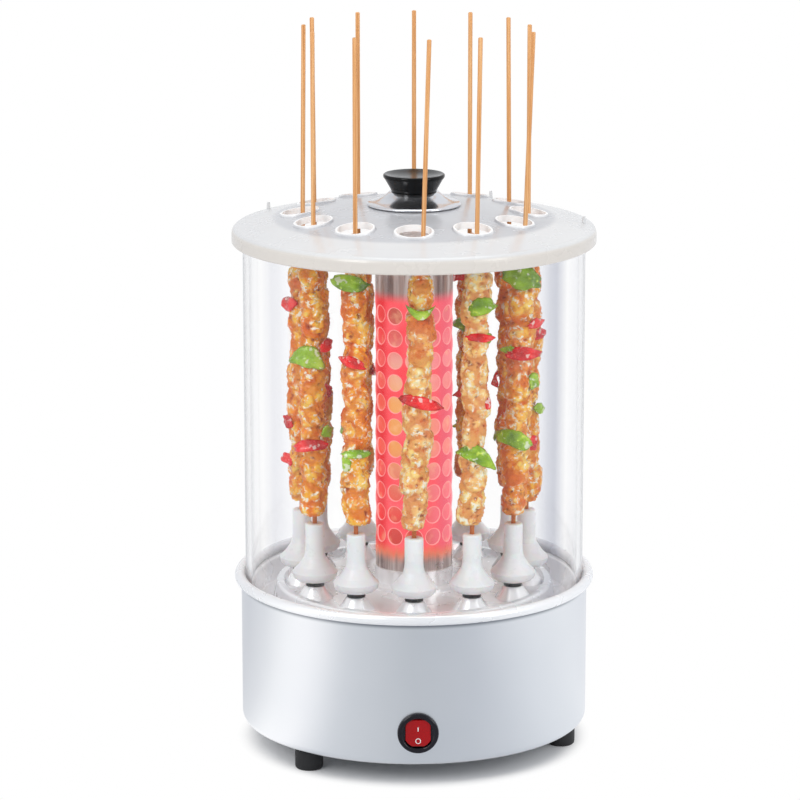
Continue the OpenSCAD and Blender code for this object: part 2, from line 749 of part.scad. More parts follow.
// Half section of the lid: a dome, a thicker edge that rests on the glass, a
// skirt outside the glass and a rib inside it
module lid_section() {
    in_r = lid_r - skirt_wall;
    rib_out = glass_r - glass_wall - rib_gap;
    rib_in = rib_out - rib_w;
    edge_r = lid_r - lid_edge_r;
    n = 12;
    top = [for (i = [0:n]) let (r = edge_r * i / n) [r, lid_top(r)]];
    under = [for (i = [n:-1:0]) let (r = rib_in * i / n) [r, lid_top(r) - lid_wall]];
    polygon(concat(
        top,
        arc(edge_r, lid_top(edge_r) - lid_edge_r, lid_edge_r,
            lid_edge_turn, 0, 5),
        [[lid_r, lid_z0 + 0.8], [lid_r - 0.8, lid_z0], [in_r + 0.3, lid_z0],
         [in_r, lid_z0 + 0.5], [in_r, glass_z1], [rib_out, glass_z1],
         [rib_out, glass_z1 - rib_h + 0.4], [rib_out - 0.4, glass_z1 - rib_h],
         [rib_in, glass_z1 - rib_h]],
        under));
}

module lid_shell() {
    slope = asin(ring_r / dome_r);
    lip_r = lid_hole_d / 2;
    color("white") difference() {
        union() {
            rotate_extrude($fn = 180) lid_section();
            ring_of(cup_count, ring_r, cup_turn(1)) translate([0, 0, lid_top(ring_r)])
                rotate([0, slope, 0]) translate([0, 0, -1])
                    cylinder(r1 = lip_r + 2, r2 = lip_r + 1.1, h = 1 + lip_h);
            for (a = peg_turns) rotate([0, 0, a])
                translate([peg_ring_r, 0, lid_top(peg_ring_r) - 1])
                cylinder(r1 = 1.3, r2 = 0.8, h = 1 + peg_h);
        }
        ring_of(cup_count, ring_r, cup_turn(1))
            translate([0, 0, lid_z0]) cylinder(r = lip_r, h = 30);
        translate([0, 0, lid_z0]) cylinder(r = knob_screw_r + 0.2, h = 40);
    }
}

module knob_dish() {
    z = lid_top(0) + slip_gap;
    color("lightgray") rotate_extrude()
        polygon([[knob_screw_r + 0.2, z], [8, z + 0.1], [dish_r - 0.6, lid_top(dish_r) + 0.1],
                 [dish_r, lid_top(dish_r) + 0.4], [dish_r, lid_top(dish_r) + 1.0],
                 [dish_r - 1.4, lid_top(dish_r) + 1.7], [dish_r - 6, z + 2.4],
                 [knob_foot_d / 2 + 1.2, knob_z0], [knob_screw_r + 0.2, knob_z0]]);
}

module lid_knob() {
    r = knob_d / 2;
    f = knob_foot_d / 2;
    color("#181818") difference() {
        rotate_extrude() polygon(concat(
            [[0, knob_z0], [f - 0.6, knob_z0], [f, knob_z0 + 0.6], [f + 0.3, knob_z0 + 2.6],
             [f + 1.2, knob_z0 + 5], [r - 1.2, knob_z1 - 5.4]],
            arc(r - 1.4, knob_z1 - 3.6, 1.4, -knob_low_turn, knob_top_turn, 4),
            [[r - 3, knob_z1 - 1.1], [r - 8, knob_z1 - 0.2], [r - 12, knob_z1], [0, knob_z1]]));
        translate([0, 0, knob_z0 - cut])
            cylinder(r = knob_screw_r + slip_gap, h = 9 + cut);
    }
}

module knob_screw() {
    z = lid_top(2 * knob_screw_head_r) - lid_wall;
    color("silver") translate([0, 0, z])
        screw(knob_screw_head_r, 2.2, knob_screw_r, knob_z0 + 8.6 - z);
}

module spindle(i) {
    a = cup_turn(i);
    color("ivory") rotate([0, 0, a]) translate([ring_r, 0, 0]) {
        rotate([0, 0, mesh_turn(a, sun_teeth, spindle_teeth) - a]) translate([0, 0, sun_z0])
            linear_extrude(gear_face) polygon(gear_outline(spindle_teeth));
        rotate_extrude(convexity = 4)
            polygon([[0, spindle_z0], [spindle_r, spindle_z0], [spindle_r, boss_z1 + seat_gap],
                     [spindle_r + 2.5, boss_z1 + seat_gap], [spindle_r + 2.5, sun_z1 + 3],
                     [spindle_r, sun_z1 + 3], [spindle_r, shoulder_z0],
                     [shoulder_d / 2, shoulder_z0], [shoulder_d / 2, shoulder_z1],
                     [spindle_r, shoulder_z1], [spindle_r, shoulder_z1 + pin_h - 0.6],
                     [spindle_r - 0.6, shoulder_z1 + pin_h], [0, shoulder_z1 + pin_h]]);
    }
}

module cup(i) {
    neck = cup_neck_d / 2;
    flare = cup_flare_d / 2;
    bore = stick_r + 0.08;
    socket_r = spindle_r + slip_gap;
    socket_z = shoulder_z1 + pin_h + 0.2;
    mouth = cup_z1;
    color("white") rotate([0, 0, cup_turn(i)]) translate([ring_r, 0, 0]) rotate_extrude()
        polygon(concat(
            [[socket_r, cup_z0], [flare * 0.62, cup_z0]],
            arc(flare * 0.66, cup_z0 + cup_foot_r, cup_foot_r,
                cup_foot_turn, 0, 4),
            [[flare, cup_z0 + 5.2], [flare - 0.8, cup_z0 + 6.2], [flare - 3, cup_z0 + 8.4],
             [neck + 2.2, cup_z0 + 11.6], [neck + 0.9, cup_z0 + 13.6],
             [neck + 0.2, cup_z0 + 16.4], [neck, cup_z0 + 19]],
            arc(neck - 1.2, mouth - 1.2, 1.2, 0, 90, 4),
            [[bore + 0.6, mouth], [bore, mouth - 0.8], [bore, mouth - stick_hole],
             [0, mouth - stick_hole], [0, socket_z], [socket_r, socket_z]]));
}

// A bamboo stick with lumps of meat and a few slices of pepper threaded on it
module skewer(i) {
    step = (food_l - food_d) / (food_count - 1);
    color("goldenrod") rotate([0, 0, cup_turn(i)]) translate([ring_r, 0, 0]) {
        translate([0, 0, stick_z0]) cylinder(r = stick_r, h = stick_l, $fn = 24);
        for (k = [0:food_count - 1]) {
            turn = 137.5 * (k + 3 * i);
            translate([0.5 * cos(turn), 0.5 * sin(turn), food_z0 + food_r + k * step])
                sphere(r = food_r * (0.9 + 0.06 * sin(turn * 1.7)), $fn = 32);
        }
        for (k = [1:3]) translate([0, 0, food_z0 + food_l * (k - 0.4 + 0.2 * sin(80 * i)) / 3.4])
            rotate([10 * sin(60 * i + 90 * k), 10 * cos(60 * i + 90 * k), 0])
                cylinder(r = pepper_d / 2, h = 1.8, center = true, $fn = 32);
    }
}

base_shell();
bottom_plate();
rubber_feet();
base_screws();
gear_deck();
drive_motor();
centre_post();
drip_tray();
guard_collar();
heater_guard();
guard_cap();
heater_socket();
quartz_sleeve();
heating_coil();
switch_body();
cord_bush();
glass_cylinder();
lid_shell();
knob_dish();
lid_knob();
knob_screw();
switch_rocker();
sun_gear();
motor_pinion();
for (i = [1:cup_count]) {
    spindle(i);
    cup(i);
    skewer(i);
}
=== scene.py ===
import json
import math
import random

import bmesh
import bpy
from mathutils import Matrix, Vector, noise


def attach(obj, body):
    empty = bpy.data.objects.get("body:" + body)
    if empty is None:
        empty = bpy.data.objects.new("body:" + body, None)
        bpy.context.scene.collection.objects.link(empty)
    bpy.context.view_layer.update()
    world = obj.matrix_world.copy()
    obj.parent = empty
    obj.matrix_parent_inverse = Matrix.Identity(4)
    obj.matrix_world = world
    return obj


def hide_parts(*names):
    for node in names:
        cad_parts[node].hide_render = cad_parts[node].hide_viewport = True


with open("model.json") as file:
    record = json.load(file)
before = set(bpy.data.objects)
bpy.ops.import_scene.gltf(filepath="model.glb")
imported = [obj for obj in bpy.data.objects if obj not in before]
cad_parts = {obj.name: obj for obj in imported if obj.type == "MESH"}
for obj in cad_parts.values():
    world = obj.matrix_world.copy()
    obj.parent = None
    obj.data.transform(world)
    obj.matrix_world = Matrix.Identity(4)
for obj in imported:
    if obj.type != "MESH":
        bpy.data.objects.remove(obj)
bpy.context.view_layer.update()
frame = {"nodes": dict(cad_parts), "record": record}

MM = 0.001

# Places and sizes of the part, in millimetres and degrees
DRUM_R = 100.0
RIM_UNDERSIDE_Z = 94.5
CUP_COUNT = 12
CUP_RING_R = 65.0
CUP_MOUTH_Z = 135.8
STICK_R = 1.3
STICK_Z0 = 116.1
STICK_LENGTH = 300.0
FOOD_Z0 = 141.3
FOOD_Z1 = 286.3
FOOD_REACH = 9.3
KNOB_Z0 = 321.6
DISH_Z0 = 313.7

# Guard: its holes, the band of height where their rims get a painted highlight, and the skin of
# light inside
GUARD_R = 22.2
HOLE_R = 4.7
HOLE_Z0 = 124.0
HOLE_PITCH = 12.9
HOLE_COLUMNS = 12
HOLE_BAND = (118.0, 259.2)
GLOW_R = 21.1
GLOW_WALL = 0.15
GLOW_Z0 = 118.5
GLOW_Z1 = 258.5

# Switch: its place on the drum, the rocker's pivot over the drum's wall, its tilt at rest, the
# height of its face over the pivot in the middle and at the ends, and half its length
SWITCH_Z = 32.0
SWITCH_TURN = 1.3
ROCKER_PIVOT = -1.5
ROCKER_TILT = 8.5
ROCKER_MIDDLE = 2.5
ROCKER_END = 3.6
ROCKER_HALF = 7.1

# Marks on the rocker: their heights over its middle, how far they stand out, and their sizes
MARK_ON_Y = 1.9
MARK_OFF_Y = -4.6
MARK_RAISED = 0.09
BAR_R = 0.3
BAR_REACH = 0.95
RING_INNER_R = 1.15
RING_OUTER_R = 1.55

# Where the colour changes: over the lid's skirt, inside the ring of its holes (a painted
# reflection), on the lip round each of them (a painted glow), and on the black shoulder of a
# spindle, from and to a height with a soft edge
LID_SKIRT_Z = 301.2
LID_GREY_R = 82.5
LID_LIP_R = 11.6
SHOULDER_Z = (97.5, 98.5, 102.6, 103.2)

WHITE = (1, 1, 1, 1)
BLACK = (0, 0, 0, 1)


# ---------------------------------------------------------------- nodes of a material

def linear(r, g, b):
    """A colour given as it looks on a screen, 0 to 255, in the shader's linear values."""
    def channel(v):
        v /= 255.0
        return v / 12.92 if v <= 0.04045 else ((v + 0.055) / 1.055) ** 2.4
    return (channel(r), channel(g), channel(b), 1.0)


def put(tree, kind, ins=None, out=0, **settings):
    """Adds a node, sets or joins its inputs, and gives one of its outputs."""
    made = tree.nodes.new(kind)
    for key, value in settings.items():
        setattr(made, key, value)
    for key, value in (ins or {}).items():
        fill(tree, made.inputs[key], value)
    return made.outputs[out]


def fill(tree, socket, value):
    """Joins another node's output to a socket, or sets the socket's plain value."""
    if isinstance(value, bpy.types.NodeSocket):
        tree.links.new(value, socket)
    else:
        socket.default_value = value


def maths(tree, operation, a, b=0.0, c=0.0):
    """One sum on up to three values."""
    return put(tree, "ShaderNodeMath", {0: a, 1: b, 2: c}, operation=operation)


def times(tree, a, b):
    """One value times another."""
    return maths(tree, "MULTIPLY", a, b)


def distance(tree, a, b):
    """How far a place lies that is a to one side and b ahead."""
    return maths(tree, "SQRT", maths(tree, "ADD", times(tree, a, a), times(tree, b, b)))


def off_spot(tree, turn, radius, count):
    """How far round, in metres, a place lies from the nearest of equal spots on a ring."""
    positive = maths(tree, "ADD", turn, 4 * math.pi)
    return times(tree, maths(tree, "PINGPONG", positive, math.pi / count), radius * MM)


def rise(tree, value, low, high, to_low=0.0, to_high=1.0):
    """A smooth step of a value from one level to another."""
    return put(tree, "ShaderNodeMapRange",
               {0: value, 1: low, 2: high, 3: to_low, 4: to_high}, interpolation_type="SMOOTHSTEP")


def rise_mm(tree, value, low, high, to_low=0.0, to_high=1.0):
    """The same smooth step between two places given in millimetres."""
    return rise(tree, value, low * MM, high * MM, to_low, to_high)


def colours(tree, value, stops):
    """A colour ramp through (place, colour) stops."""
    out = put(tree, "ShaderNodeValToRGB", {0: value})
    ramp = out.node.color_ramp
    while len(ramp.elements) < len(stops):
        ramp.elements.new(0.5)
    for element, (place, colour) in zip(ramp.elements, stops):
        element.position = place
        element.color = colour
    return out


def blended(tree, share, a, b):
    """Colour a, with colour b over it where share is 1."""
    return put(tree, "ShaderNodeMix", {0: share, 6: a, 7: b}, out=2, data_type="RGBA")


def spot_noise(tree, place, scale, detail, roughness=0.5):
    """Noise with so many spots in a metre."""
    return put(tree, "ShaderNodeTexNoise",
               {"Vector": place, "Scale": scale, "Detail": detail, "Roughness": roughness})


def drawn_noise(tree, place, spots):
    """Noise drawn out into streaks, with so many spots in a metre along x, y and z."""
    drawn = put(tree, "ShaderNodeVectorMath", {0: place, 1: spots}, operation="MULTIPLY")
    return spot_noise(tree, drawn, 1.0, 3.0, 0.6)


def where(tree):
    """The place on the piece, in its own frame, in metres."""
    return put(tree, "ShaderNodeTexCoord", out=3)


def parts_of(tree, vector):
    """The x, y and z of a vector."""
    made = put(tree, "ShaderNodeSeparateXYZ", {0: vector}).node
    return made.outputs[0], made.outputs[1], made.outputs[2]


def new_group(name, ins, outs):
    """An empty shader node group with named inputs and outputs."""
    tree = bpy.data.node_groups.new(name, "ShaderNodeTree")
    for label, kind, value in ins:
        socket = tree.interface.new_socket(name=label, in_out="INPUT", socket_type=kind)
        if value is not None:
            socket.default_value = value
    for label, kind in outs:
        tree.interface.new_socket(name=label, in_out="OUTPUT", socket_type=kind)
    return tree, tree.nodes.new("NodeGroupInput"), tree.nodes.new("NodeGroupOutput")


def grained_sheet():
    """Fine grain of rolled or spun metal that runs round an upright piece."""
    tree, ins, outs = new_group(
        "grained_sheet",
        [("Around", "NodeSocketFloat", 60.0), ("Up", "NodeSocketFloat", 2500.0)],
        [("Height", "NodeSocketFloat")])
    x, y, z = parts_of(tree, where(tree))
    turn = maths(tree, "ARCTAN2", y, x)
    rings = maths(tree, "ADD", z, distance(tree, x, y))
    place = put(tree, "ShaderNodeCombineXYZ",
                {0: times(tree, maths(tree, "COSINE", turn), ins.outputs[0]),
                 1: times(tree, maths(tree, "SINE", turn), ins.outputs[0]),
                 2: times(tree, rings, ins.outputs[1])})
    tree.links.new(spot_noise(tree, place, 1.0, 2.0), outs.inputs[0])
    return tree


def uneven_tint():
    """Slow, soft change between two colours over a surface."""
    tree, ins, outs = new_group(
        "uneven_tint",
        [("Colour", "NodeSocketColor", (0.8, 0.8, 0.8, 1)),
         ("Second", "NodeSocketColor", (0.7, 0.7, 0.7, 1)),
         ("Scale", "NodeSocketFloat", 20.0)],
        [("Colour", "NodeSocketColor")])
    cloud = spot_noise(tree, where(tree), ins.outputs[2], 3.0)
    share = rise(tree, cloud, 0.35, 0.68)
    tree.links.new(blended(tree, share, ins.outputs[0], ins.outputs[1]), outs.inputs[0])
    return tree


def handled_gloss():
    """Roughness that wanders a little, as on a wiped surface, with fine moulding texture."""
    tree, ins, outs = new_group(
        "handled_gloss",
        [("Low", "NodeSocketFloat", 0.2), ("High", "NodeSocketFloat", 0.3),
         ("Scale", "NodeSocketFloat", 30.0), ("Texture Scale", "NodeSocketFloat", 900.0)],
        [("Roughness", "NodeSocketFloat"), ("Height", "NodeSocketFloat")])
    wipe = spot_noise(tree, where(tree), ins.outputs[2], 4.0, 0.6)
    share = rise(tree, wipe, 0.3, 0.7)
    span = maths(tree, "SUBTRACT", ins.outputs[1], ins.outputs[0])
    tree.links.new(maths(tree, "MULTIPLY_ADD", share, span, ins.outputs[0]), outs.inputs[0])
    tree.links.new(spot_noise(tree, where(tree), ins.outputs[3], 1.0), outs.inputs[1])
    return tree


GRAIN = grained_sheet()
TINT = uneven_tint()
GLOSS = handled_gloss()


def use(tree, group, **values):
    """Places a node group with its own values and gives the node."""
    made = tree.nodes.new("ShaderNodeGroup")
    made.node_tree = group
    for key, value in values.items():
        fill(tree, made.inputs[key.replace("_", " ")], value)
    return made


def new_material(name, **plain):
    """A material with one Principled shader, and plain values on its own sockets."""
    material = bpy.data.materials.new(name)
    material.use_nodes = True
    shader = material.node_tree.nodes["Principled BSDF"]
    for key, value in plain.items():
        shader.inputs[key.replace("_", " ")].default_value = value
    return material, material.node_tree, shader


def two_tone(tree, colour, second, scale):
    """A slow, soft change between two colours."""
    return use(tree, TINT, Colour=colour, Second=second, Scale=scale).outputs["Colour"]


def wiped(tree, shader, low, high, scale, texture=900.0):
    """Makes the roughness wander between two values, and gives the height of a fine texture."""
    gloss = use(tree, GLOSS, Low=low, High=high, Scale=scale, Texture_Scale=texture)
    tree.links.new(gloss.outputs["Roughness"], shader.inputs["Roughness"])
    return gloss.outputs["Height"]


def dent(tree, shader, height, depth_mm, strength=1.0):
    """Joins a height, 0 to 1, to the shader's normal as a bump of that depth."""
    normal = put(tree, "ShaderNodeBump",
                 {"Strength": strength, "Distance": depth_mm * MM, "Height": height})
    tree.links.new(normal, shader.inputs["Normal"])


def moulded(name, colour, second, low, high, scale=25.0, depth=0.01, **plain):
    """Smooth moulded, enamelled or cast finish: a slow tint and a wandering gloss."""
    material, tree, shader = new_material(name, **plain)
    tree.links.new(two_tone(tree, colour, second, scale), shader.inputs["Base Color"])
    dent(tree, shader, wiped(tree, shader, low, high, scale * 1.6), depth)
    return material


def sheet_metal(name, colour, second, low, high, up=3000.0, depth=0.004, bright=1.0):
    """Rolled or spun metal: grain that runs round, a slow tint and a wandering gloss."""
    material, tree, shader = new_material(name, Metallic=bright)
    grain = use(tree, GRAIN, Around=40.0, Up=up)
    tree.links.new(two_tone(tree, colour, second, 9.0), shader.inputs["Base Color"])
    wiped(tree, shader, low, high, 22.0)
    dent(tree, shader, grain.outputs["Height"], depth)
    return material


def lit_from_here(tree, shader, colour):
    """Shows a glow of that colour, and throws only a tenth of it on the pieces around."""
    spread = put(tree, "ShaderNodeLightPath", out="Is Diffuse Ray")
    shown = blended(tree, times(tree, spread, 0.9), colour, BLACK)
    tree.links.new(shown, shader.inputs["Emission Color"])


# ---------------------------------------------------------------- materials

def heat_behind_holes():
    """The colour of the heat seen through the guard's holes, from red at both ends to amber."""
    tree, _, outs = new_group("heat_behind_holes", [], [("Colour", "NodeSocketColor")])
    place = where(tree)
    x, _, z = parts_of(tree, place)
    level = rise_mm(tree, z, 118.0, 262.0)
    level.node.interpolation_type = "LINEAR"
    heat = colours(tree, level, [
        (0.04, linear(205, 66, 60)), (0.13, linear(230, 78, 70)), (0.22, linear(226, 104, 86)),
        (0.31, linear(228, 134, 104)), (0.40, linear(238, 156, 86)),
        (0.58, linear(238, 164, 92)), (0.67, linear(236, 166, 130)),
        (0.76, linear(234, 154, 142)), (0.85, linear(222, 94, 90)), (0.94, linear(190, 82, 70))])
    # painted shading across the tube: pinker to the right and deeper red to the left
    pink = blended(tree, rise_mm(tree, x, 2.0, 14.0, 0.0, 0.7), heat, linear(244, 122, 138))
    red = blended(tree, rise_mm(tree, x, -12.5, -17.5, 0.0, 0.85), pink, linear(234, 40, 46))
    cloud = rise(tree, spot_noise(tree, place, 160.0, 2.0), 0.5, 0.75, 0.0, 0.35)
    tree.links.new(blended(tree, cloud, red, linear(250, 196, 150)), outs.inputs[0])
    return tree


def hole_rim_highlight(tree, x, y, z):
    """1 on the narrow rim of each of the guard's holes, where a painted highlight goes, and 0
    elsewhere.
    """
    across = off_spot(tree, maths(tree, "ARCTAN2", y, x), GUARD_R, HOLE_COLUMNS)
    # counted from a row far below the guard, so that no height is negative
    over = maths(tree, "SUBTRACT", z, (HOLE_Z0 - 10 * HOLE_PITCH) * MM)
    up = maths(tree, "PINGPONG", over, HOLE_PITCH * MM / 2)
    rim = rise_mm(tree, distance(tree, across, up), HOLE_R + 0.6, HOLE_R + 0.25)
    low, high = HOLE_BAND
    rows = times(tree, rise_mm(tree, z, low, low + 0.2), rise_mm(tree, z, high, high - 0.2))
    return times(tree, rim, rows)


def glowing_guard():
    """Perforated tube that glows red in its middle and stays grey steel at both ends."""
    material, tree, shader = new_material("guard_steel", Metallic=0.75, Emission_Strength=1.0)
    place = where(tree)
    x, y, z = parts_of(tree, place)
    streak = drawn_noise(tree, place, (330, 330, 14))
    ragged = maths(tree, "MULTIPLY_ADD", streak, 8.0 * MM, z)
    hot = times(tree, rise_mm(tree, ragged, 111.5, 119.5), rise_mm(tree, z, 267.5, 259.5))
    cloud = spot_noise(tree, place, 55.0, 2.0)
    middle = colours(tree, cloud, [(0.35, linear(252, 74, 84)), (0.65, linear(255, 104, 112))])
    # painted shading across the tube: a deeper red glow at its left side and a pinker one at its
    # right
    left = blended(tree, rise_mm(tree, x, -13.0, -19.5), middle, linear(224, 22, 34))
    right = blended(tree, rise_mm(tree, x, 9.0, 18.0), left, linear(238, 96, 114))
    # painted highlight: a pale pink glow on the rim of each hole
    painted_rim_highlight = times(tree, hole_rim_highlight(tree, x, y, z), 0.8)
    rim_highlighted = blended(tree, painted_rim_highlight, right, linear(255, 168, 164))
    cooling = rise_mm(tree, ragged, 124.5, 116.5)
    glow = blended(tree, times(tree, cooling, 0.85), rim_highlighted, linear(226, 128, 92))
    # painted light: a grey glow on the upward faces of the cool steel, for the light that falls on
    # the cap through the lid's holes
    facing_up = parts_of(tree, put(tree, "ShaderNodeNewGeometry", out="Normal"))[2]
    cool_with_painted_light = blended(tree, rise(tree, facing_up, 0.8, 0.95), BLACK, linear(136, 130, 127))
    lit_from_here(tree, shader, blended(tree, hot, cool_with_painted_light, glow))
    steel = colours(tree, streak, [(0.32, linear(136, 120, 118)), (0.5, linear(188, 174, 170)),
                                   (0.68, linear(232, 225, 222))])
    tree.links.new(blended(tree, hot, steel, linear(60, 10, 12)), shader.inputs["Base Color"])
    wiped(tree, shader, 0.26, 0.36, 60.0)
    dent(tree, shader, streak, 0.02)
    return material


def grilled_meat():
    """Marinated chicken: golden glaze, creamy fat, patches of sauce, darker seams between lumps,
    painted brown shade in the creases and painted glints.
    """
    material, tree, shader = new_material(
        "grilled_meat", Subsurface_Weight=0.05, Subsurface_Scale=0.003, Coat_Roughness=0.09,
        Coat_IOR=1.6, Specular_IOR_Level=0.15, Subsurface_Radius=(1.0, 0.4, 0.15))
    place = where(tree)
    broad = spot_noise(tree, place, 62.0, 3.0, 0.6)
    middle = spot_noise(tree, place, 190.0, 4.0, 0.65)
    fine = spot_noise(tree, place, 620.0, 3.0, 0.6)
    drift = put(tree, "ShaderNodeTexNoise",
                {"Vector": place, "Scale": 120.0, "Detail": 2.0}, out=1)
    wandering = put(tree, "ShaderNodeVectorMath",
                    {0: drift, 1: (7 * MM, 7 * MM, 7 * MM), 2: place}, operation="MULTIPLY_ADD")
    lump = put(tree, "ShaderNodeTexVoronoi",
               {"Vector": wandering, "Scale": 165.0, "Smoothness": 0.35}, feature="SMOOTH_F1")
    centre = rise(tree, lump, 0.48, 0.18)
    border = rise(tree, lump, 0.44, 0.66)

    glaze = colours(tree, broad, [(0.30, linear(224, 88, 0)), (0.42, linear(248, 132, 2)),
                                  (0.55, linear(255, 176, 26)), (0.70, linear(255, 212, 84))])
    pale = put(tree, "ShaderNodeAttribute", attribute_name="pale", out=2)
    cooked = blended(tree, times(tree, pale, 0.62), glaze, linear(255, 230, 152))
    sauce = blended(tree, rise(tree, middle, 0.53, 0.66, 0.0, 0.6), cooked, linear(226, 92, 2))
    fat = blended(tree, pale, linear(255, 212, 96), linear(255, 242, 190))
    creamy = blended(tree, times(tree, centre, rise(tree, middle, 0.53, 0.42)), sauce, fat)
    seams = blended(tree, times(tree, border, 0.5), creamy, linear(208, 70, 0))
    specks = blended(tree, rise(tree, fine, 0.66, 0.76, 0.0, 0.7), seams, linear(150, 46, 2))
    # painted shade: darker brown where the surface dips into a crease
    crease_shade = put(tree, "ShaderNodeAttribute", attribute_name="crease_shade", out=2)
    creased = blended(tree, crease_shade, specks, linear(150, 44, 0))

    # painted highlight: near-white glint spots in the base colour away from the seams, where the
    # coat is made stronger too
    glint_spots = rise(tree, spot_noise(tree, wandering, 400.0, 4.0, 0.65), 0.53, 0.60)
    painted_glint_and_gloss = times(tree, glint_spots, maths(tree, "SUBTRACT", 1.0, border))
    tree.links.new(blended(tree, times(tree, painted_glint_and_gloss, 0.9), creased, linear(255, 250, 232)),
                   shader.inputs["Base Color"])
    tree.links.new(maths(tree, "MULTIPLY_ADD", painted_glint_and_gloss, 0.8, 0.2), shader.inputs["Coat Weight"])
    tree.links.new(rise(tree, middle, 0.3, 0.7, 0.2, 0.42), shader.inputs["Roughness"])
    rough = maths(tree, "MULTIPLY_ADD", fine, 0.1, times(tree, middle, 0.45))
    dent(tree, shader, maths(tree, "SUBTRACT", rough, lump), 2.4, 0.9)
    return material


def pepper_skin(name, deep, bright, pale):
    """Glossy pepper with darker blotches, pale flecks and small painted glints."""
    material, tree, shader = new_material(
        name, Coat_Weight=0.5, Coat_Roughness=0.08, Specular_IOR_Level=0.25,
        Subsurface_Weight=0.06, Subsurface_Scale=0.003)
    place = where(tree)
    broad = spot_noise(tree, place, 90.0, 3.0)
    fine = spot_noise(tree, place, 420.0, 3.0)
    body = colours(tree, broad, [(0.32, deep), (0.55, bright), (0.75, pale)])
    flecked = blended(tree, rise(tree, fine, 0.60, 0.74), body, pale)
    # painted highlight: small near-white glints in the base colour
    painted_glints = rise(tree, spot_noise(tree, place, 260.0, 2.0), 0.60, 0.66)
    tree.links.new(blended(tree, times(tree, painted_glints, 0.55), flecked, linear(250, 246, 236)),
                   shader.inputs["Base Color"])
    tree.links.new(rise(tree, fine, 0.3, 0.7, 0.18, 0.36), shader.inputs["Roughness"])
    dent(tree, shader, broad, 2.0, 0.6)
    return material


def bamboo():
    """Split bamboo: long fibres, a few darker ones, and sauce where the food sat."""
    material, tree, shader = new_material("bamboo", Specular_IOR_Level=0.4)
    place = where(tree)
    z = parts_of(tree, place)[2]
    fibre = drawn_noise(tree, place, (1500, 1500, 14))
    wood = colours(tree, fibre, [(0.25, linear(192, 124, 68)), (0.5, linear(228, 166, 106)),
                                 (0.75, linear(246, 202, 150))])
    sauced = rise_mm(tree, z, FOOD_Z0 + 8, FOOD_Z0 - 3)
    tree.links.new(blended(tree, sauced, wood, linear(186, 98, 36)), shader.inputs["Base Color"])
    tree.links.new(rise(tree, fibre, 0.3, 0.7, 0.45, 0.62), shader.inputs["Roughness"])
    dent(tree, shader, fibre, 0.06, 0.6)
    return material


def clear_glass():
    """Clear glass that lamps shine through, tinted with soft lilac bands as a painted reflection.
    """
    material, tree, shader = new_material("glass", Roughness=0.0, IOR=1.3,
                                          Transmission_Weight=1.0)
    turned_away = put(tree, "ShaderNodeLayerWeight", {"Blend": 0.5}, out=1)
    faint, lilac, deep = (0.865, 0.87, 0.905, 1), (0.62, 0.635, 0.70, 1), (0.56, 0.57, 0.60, 1)
    left = colours(tree, turned_away, [
        (0.28, WHITE), (0.37, (0.945, 0.95, 0.975, 1)), (0.44, faint), (0.51, faint),
        (0.56, WHITE), (0.67, WHITE), (0.69, (0.92, 0.92, 0.925, 1)), (0.71, WHITE),
        (0.81, WHITE), (0.885, (0.62, 0.63, 0.66, 1)), (0.97, deep)])
    right = colours(tree, turned_away, [
        (0.28, WHITE), (0.37, (0.84, 0.85, 0.89, 1)), (0.44, lilac), (0.51, lilac),
        (0.57, WHITE), (0.88, WHITE), (0.95, (0.66, 0.67, 0.70, 1))])
    # painted reflection: fainter bands on the left side of the glass, lilac ones on the right
    side = rise_mm(tree, parts_of(tree, where(tree))[0], -20.0, 20.0)
    tree.links.new(blended(tree, side, left, right), shader.inputs["Base Color"])
    path = put(tree, "ShaderNodeLightPath").node
    passing = maths(tree, "MAXIMUM", path.outputs["Is Shadow Ray"], path.outputs["Is Diffuse Ray"])
    open_way = put(tree, "ShaderNodeBsdfTransparent", {0: (0.98, 0.985, 0.99, 1)})
    mixed = put(tree, "ShaderNodeMixShader", {0: passing, 1: shader.outputs[0], 2: open_way})
    tree.links.new(mixed, tree.nodes["Material Output"].inputs[0])
    return material


def enamelled_lid():
    """White enamel, greyer inside the ring of holes as a painted reflection of the room in the
    dome.
    """
    material, tree, shader = new_material("lid_white", Coat_Weight=0.25, Coat_Roughness=0.04,
                                          Emission_Strength=0.05)
    x, y, z = parts_of(tree, where(tree))
    radius = distance(tree, x, y)
    across = off_spot(tree, maths(tree, "ARCTAN2", y, x), CUP_RING_R, CUP_COUNT)
    out = maths(tree, "SUBTRACT", radius, CUP_RING_R * MM)
    lip_with_painted_glow = rise_mm(tree, distance(tree, across, out), LID_LIP_R, LID_LIP_R - 0.8)
    inner = rise_mm(tree, radius, LID_GREY_R, LID_GREY_R - 4.5)
    skirt = rise_mm(tree, z, LID_SKIRT_Z, LID_SKIRT_Z - 1.7)
    outside = two_tone(tree, linear(224, 224, 224), linear(219, 219, 220), 14.0)
    # painted reflection: the grey of the room mirrored in the dome, inside the ring of holes
    middle = two_tone(tree, linear(192, 193, 197), linear(201, 202, 206), 14.0)
    warm = blended(tree, skirt, outside, linear(220, 214, 207))
    dome = blended(tree, inner, warm, middle)
    tree.links.new(blended(tree, lip_with_painted_glow, dome, linear(250, 250, 250)), shader.inputs["Base Color"])
    # painted highlight: the lip round each hole glows faintly white
    tree.links.new(blended(tree, lip_with_painted_glow, BLACK, WHITE), shader.inputs["Emission Color"])
    dent(tree, shader, wiped(tree, shader, 0.22, 0.30, 30.0, 300.0), 0.002)
    return material


